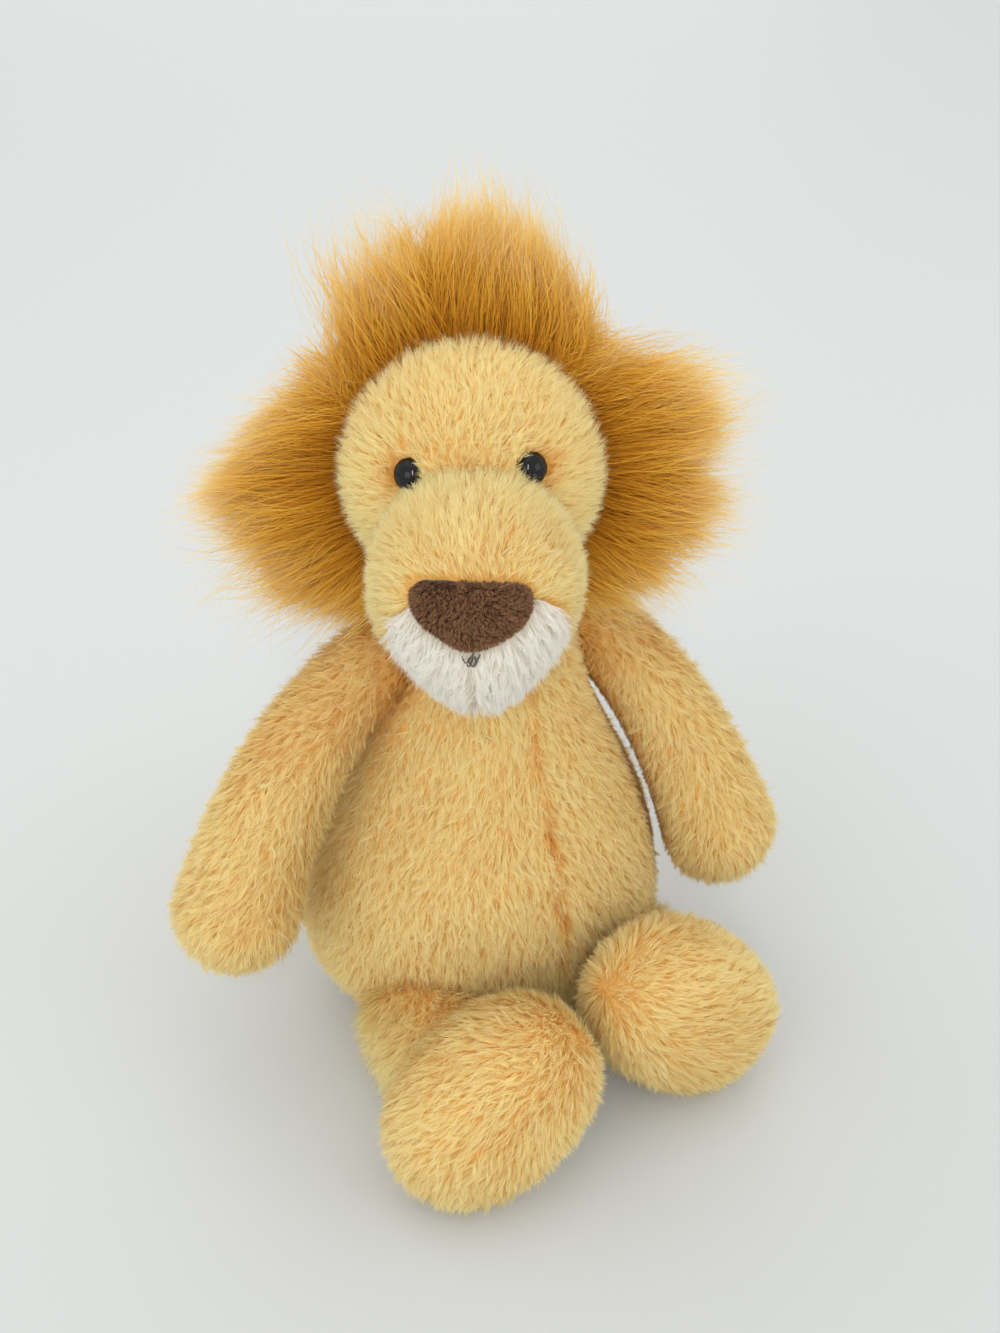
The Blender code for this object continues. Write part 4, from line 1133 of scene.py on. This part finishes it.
mane_strands("mane_ruff", 1000, 48, 80, 93, on_ball, 4, 0.00014, sweep=(2, 11), length=(0.84, 1.06))
mane_strands(
    "mane_back", 1500, 24, 91, 178, on_hood, 4, 0.00022, sweep=(2, 12), gather=0.1, length=(0.9, 1.12),
    tone=0.5, droop=0.55,
)
mane_strands(
    "mane_wisps", 1200, 8, 80, 112, on_ball, 5, 0.00012, length=(0.96, 1.0), tone=0.9, loose=0.004,
    curl=0.006, wispy=True,
)

# Tail: short pile on the cord, and a tuft like a brush
TAIL_RADIUS, TAIL_LENGTH, TAIL_START, TAIL_CURL = 0.0055, 0.062, radians(10), radians(70)
TAIL_ROOT = np.array((0, 0.04703, 0.0115))


def tail_spine(share):
    angle = TAIL_START + TAIL_CURL * np.asarray(share)
    bend = TAIL_LENGTH / TAIL_CURL
    x = bend * (cos(TAIL_START) - np.cos(angle))
    y = bend * (np.sin(angle) - sin(TAIL_START))
    return np.stack([x, y, 0 * angle], axis=-1) + TAIL_ROOT


tail_form = Form(even_limb(tail_spine, TAIL_RADIUS, TAIL_LENGTH), 32, 64)
line, flow, tail_heading = flow_along(tail_spine)
pile(
    "tail_pile", tail_form, "tail", lambda roots, normals: tail_heading(roots) + wander(roots, 0.3), plush,
    bent=90, straight=400, length=0.0048, lift=(50, 15), tone=0.74, inside=[(torso, 0.001)],
)
TUFT_LENGTH, TUFT_RADIUS = 0.036, 0.0120
heading = flow[-1]
across = np.cross(heading, (0, 0, 1))
begin = np.array((*(line[-1] - heading * TAIL_RADIUS)[:2], TAIL_ROOT[2]))


def tuft_radius(along):
    """How wide the tuft is along its length, from 0 at the cord to 1 at its end."""
    return TUFT_RADIUS * np.clip(np.sin(pi * np.clip(along, 0.001, 1) ** 0.8), 0.08, 1)


def halfway_to_axis(points):
    middle = begin + heading * ((points - begin) @ heading)[:, None]
    return middle + (points - middle) * 0.5


reshape(bpy.data.objects["tail_tuft_core"], halfway_to_axis)
count = 6500
angle = RNG.uniform(0, 2 * pi, count)
spoke = across * np.cos(angle)[:, None] + np.sin(angle)[:, None] * (0, 0, 1)
first = RNG.uniform(0, 0.62, count)
last = np.minimum(first + RNG.uniform(0.35, 0.6, count), RNG.uniform(0.95, 1.12, count))
t = np.linspace(0, 1, 6)[None, :]
along = first[:, None] + (last - first)[:, None] * t
fullness = 0.45 + 0.55 * np.minimum(t * 2.2, 1) * RNG.uniform(0.75, 1.02, (count, 1))
reach = tuft_radius(along) * fullness
path = begin + heading * (along * TUFT_LENGTH)[..., None] + spoke[:, None] * reach[..., None]
path = above_floor(path + RNG.normal(size=(count, 1, 3)) * t[..., None] * 0.0015)
finish_strands(
    "tail_tuft_strands", "tail", "mane_pile", path, spoke, 0.00024 * RNG.uniform(0.7, 1.3, count),
    0.45 + RNG.normal(size=count) * 0.16, mane_pile,
)

# Washers keep their CAD shape
washer, _ = textured_material(
    "washer_plastic_moulded", "ShaderNodeTexNoise", ((0.3, (196, 196, 192)), (0.7, (222, 222, 218))),
    0.45, 0.4, Scale=300.0, Detail=2.0,
)
for name in SIDES:
    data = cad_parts[f"eye_washer_{name}"].data
    data.materials.clear()
    data.materials.append(washer)

# Floor, light and camera
floor_material, tree, shader = new_material("floor", 0.6, 0.2)
split = in_own_space(tree, "ShaderNodeSeparateXYZ")
share = node(tree, "ShaderNodeMapRange", **{"From Min": -0.15, "From Max": 1.25})
tree.links.new(split.outputs["Y"], share.inputs["Value"])
# Painted light and shade: the floor is darker in front of the lion and far behind it, and lighter just behind
# it, to even out how the lamps light it
shades = ((0.0, -7), (0.22, 2), (1.0, -8))
floor_stops = tuple((at, tuple(channel + more for channel in FLOOR)) for at, more in shades)
tree.links.new(ramp(tree, floor_stops, share.outputs["Result"]), shader.inputs["Base Color"])
mesh = bpy.data.meshes.new("floor")
FLOOR_HALF = 6
corners = [(x * FLOOR_HALF, y * FLOOR_HALF, 0) for x, y in ((-1, -1), (1, -1), (1, 1), (-1, 1))]
mesh.from_pydata(corners, [], [(0, 1, 2, 3)])
floor = add("floor", mesh)
mesh.materials.append(floor_material)

scene = bpy.context.scene
world = bpy.data.worlds[0] if bpy.data.worlds else bpy.data.worlds.new("studio")
scene.world = world
world.use_nodes = True
sky = world.node_tree.nodes["Background"]
sky.inputs["Color"].default_value = (1, 0.992, 0.975, 1)
sky.inputs["Strength"].default_value = 0.90


def lamp(name, place, target, width, height, power):
    data = bpy.data.lights.new(name, "AREA")
    data.shape = "RECTANGLE"
    data.size, data.size_y = width, height
    data.energy = power
    item = add(name, data)
    item.location = place
    item.rotation_euler = (Vector(target) - Vector(place)).to_track_quat("-Z", "Y").to_euler()


lamp("overhead", (-0.3, 0.4, 2.4), (0, 0, 0), 2.2, 2.2, 6.5)
lamp("front", (-0.72, -1.6, 1.35), (0, 0, 0.12), 0.16, 1.0, 10.4)
lamp("left_fill", (-1.9, -1.3, 0.9), (0, 0, 0.1), 1.3, 1.3, 7.5)
lamp("right_fill", (1.4, -1.8, 0.9), (0, 0, 0.1), 1.3, 1.3, 5.0)
lamp("back_fill", (0.7, 2.0, 0.45), (0, 0, 0.1), 1.3, 0.8, 4.0)

# The camera was fitted to the photograph, whose height and focal length are given in its pixels
PICTURE_HEIGHT, FOCAL_LENGTH, FILM_HEIGHT = 1333, 1760, 36
AZIMUTH, ELEVATION, DISTANCE, AIM_HEIGHT = radians(-24), radians(34), 0.50, 0.110
level = Vector((sin(AZIMUTH), -cos(AZIMUTH), 0))
back = level * cos(ELEVATION) + Vector((0, 0, sin(ELEVATION)))
right = Vector((cos(AZIMUTH), sin(AZIMUTH), 0))
lens = bpy.data.cameras.new("camera")
lens.sensor_fit = "VERTICAL"
lens.sensor_height = FILM_HEIGHT
lens.lens = FOCAL_LENGTH / PICTURE_HEIGHT * FILM_HEIGHT
lens.shift_x = 20 / PICTURE_HEIGHT
lens.shift_y = 1.5 / PICTURE_HEIGHT
camera = add("camera", lens)
facing = Matrix((right, back.cross(right), back)).transposed().to_4x4()
camera.matrix_world = Matrix.Translation(Vector((0, 0, AIM_HEIGHT)) + back * DISTANCE) @ facing
scene.camera = camera
scene.view_settings.view_transform = "Standard"
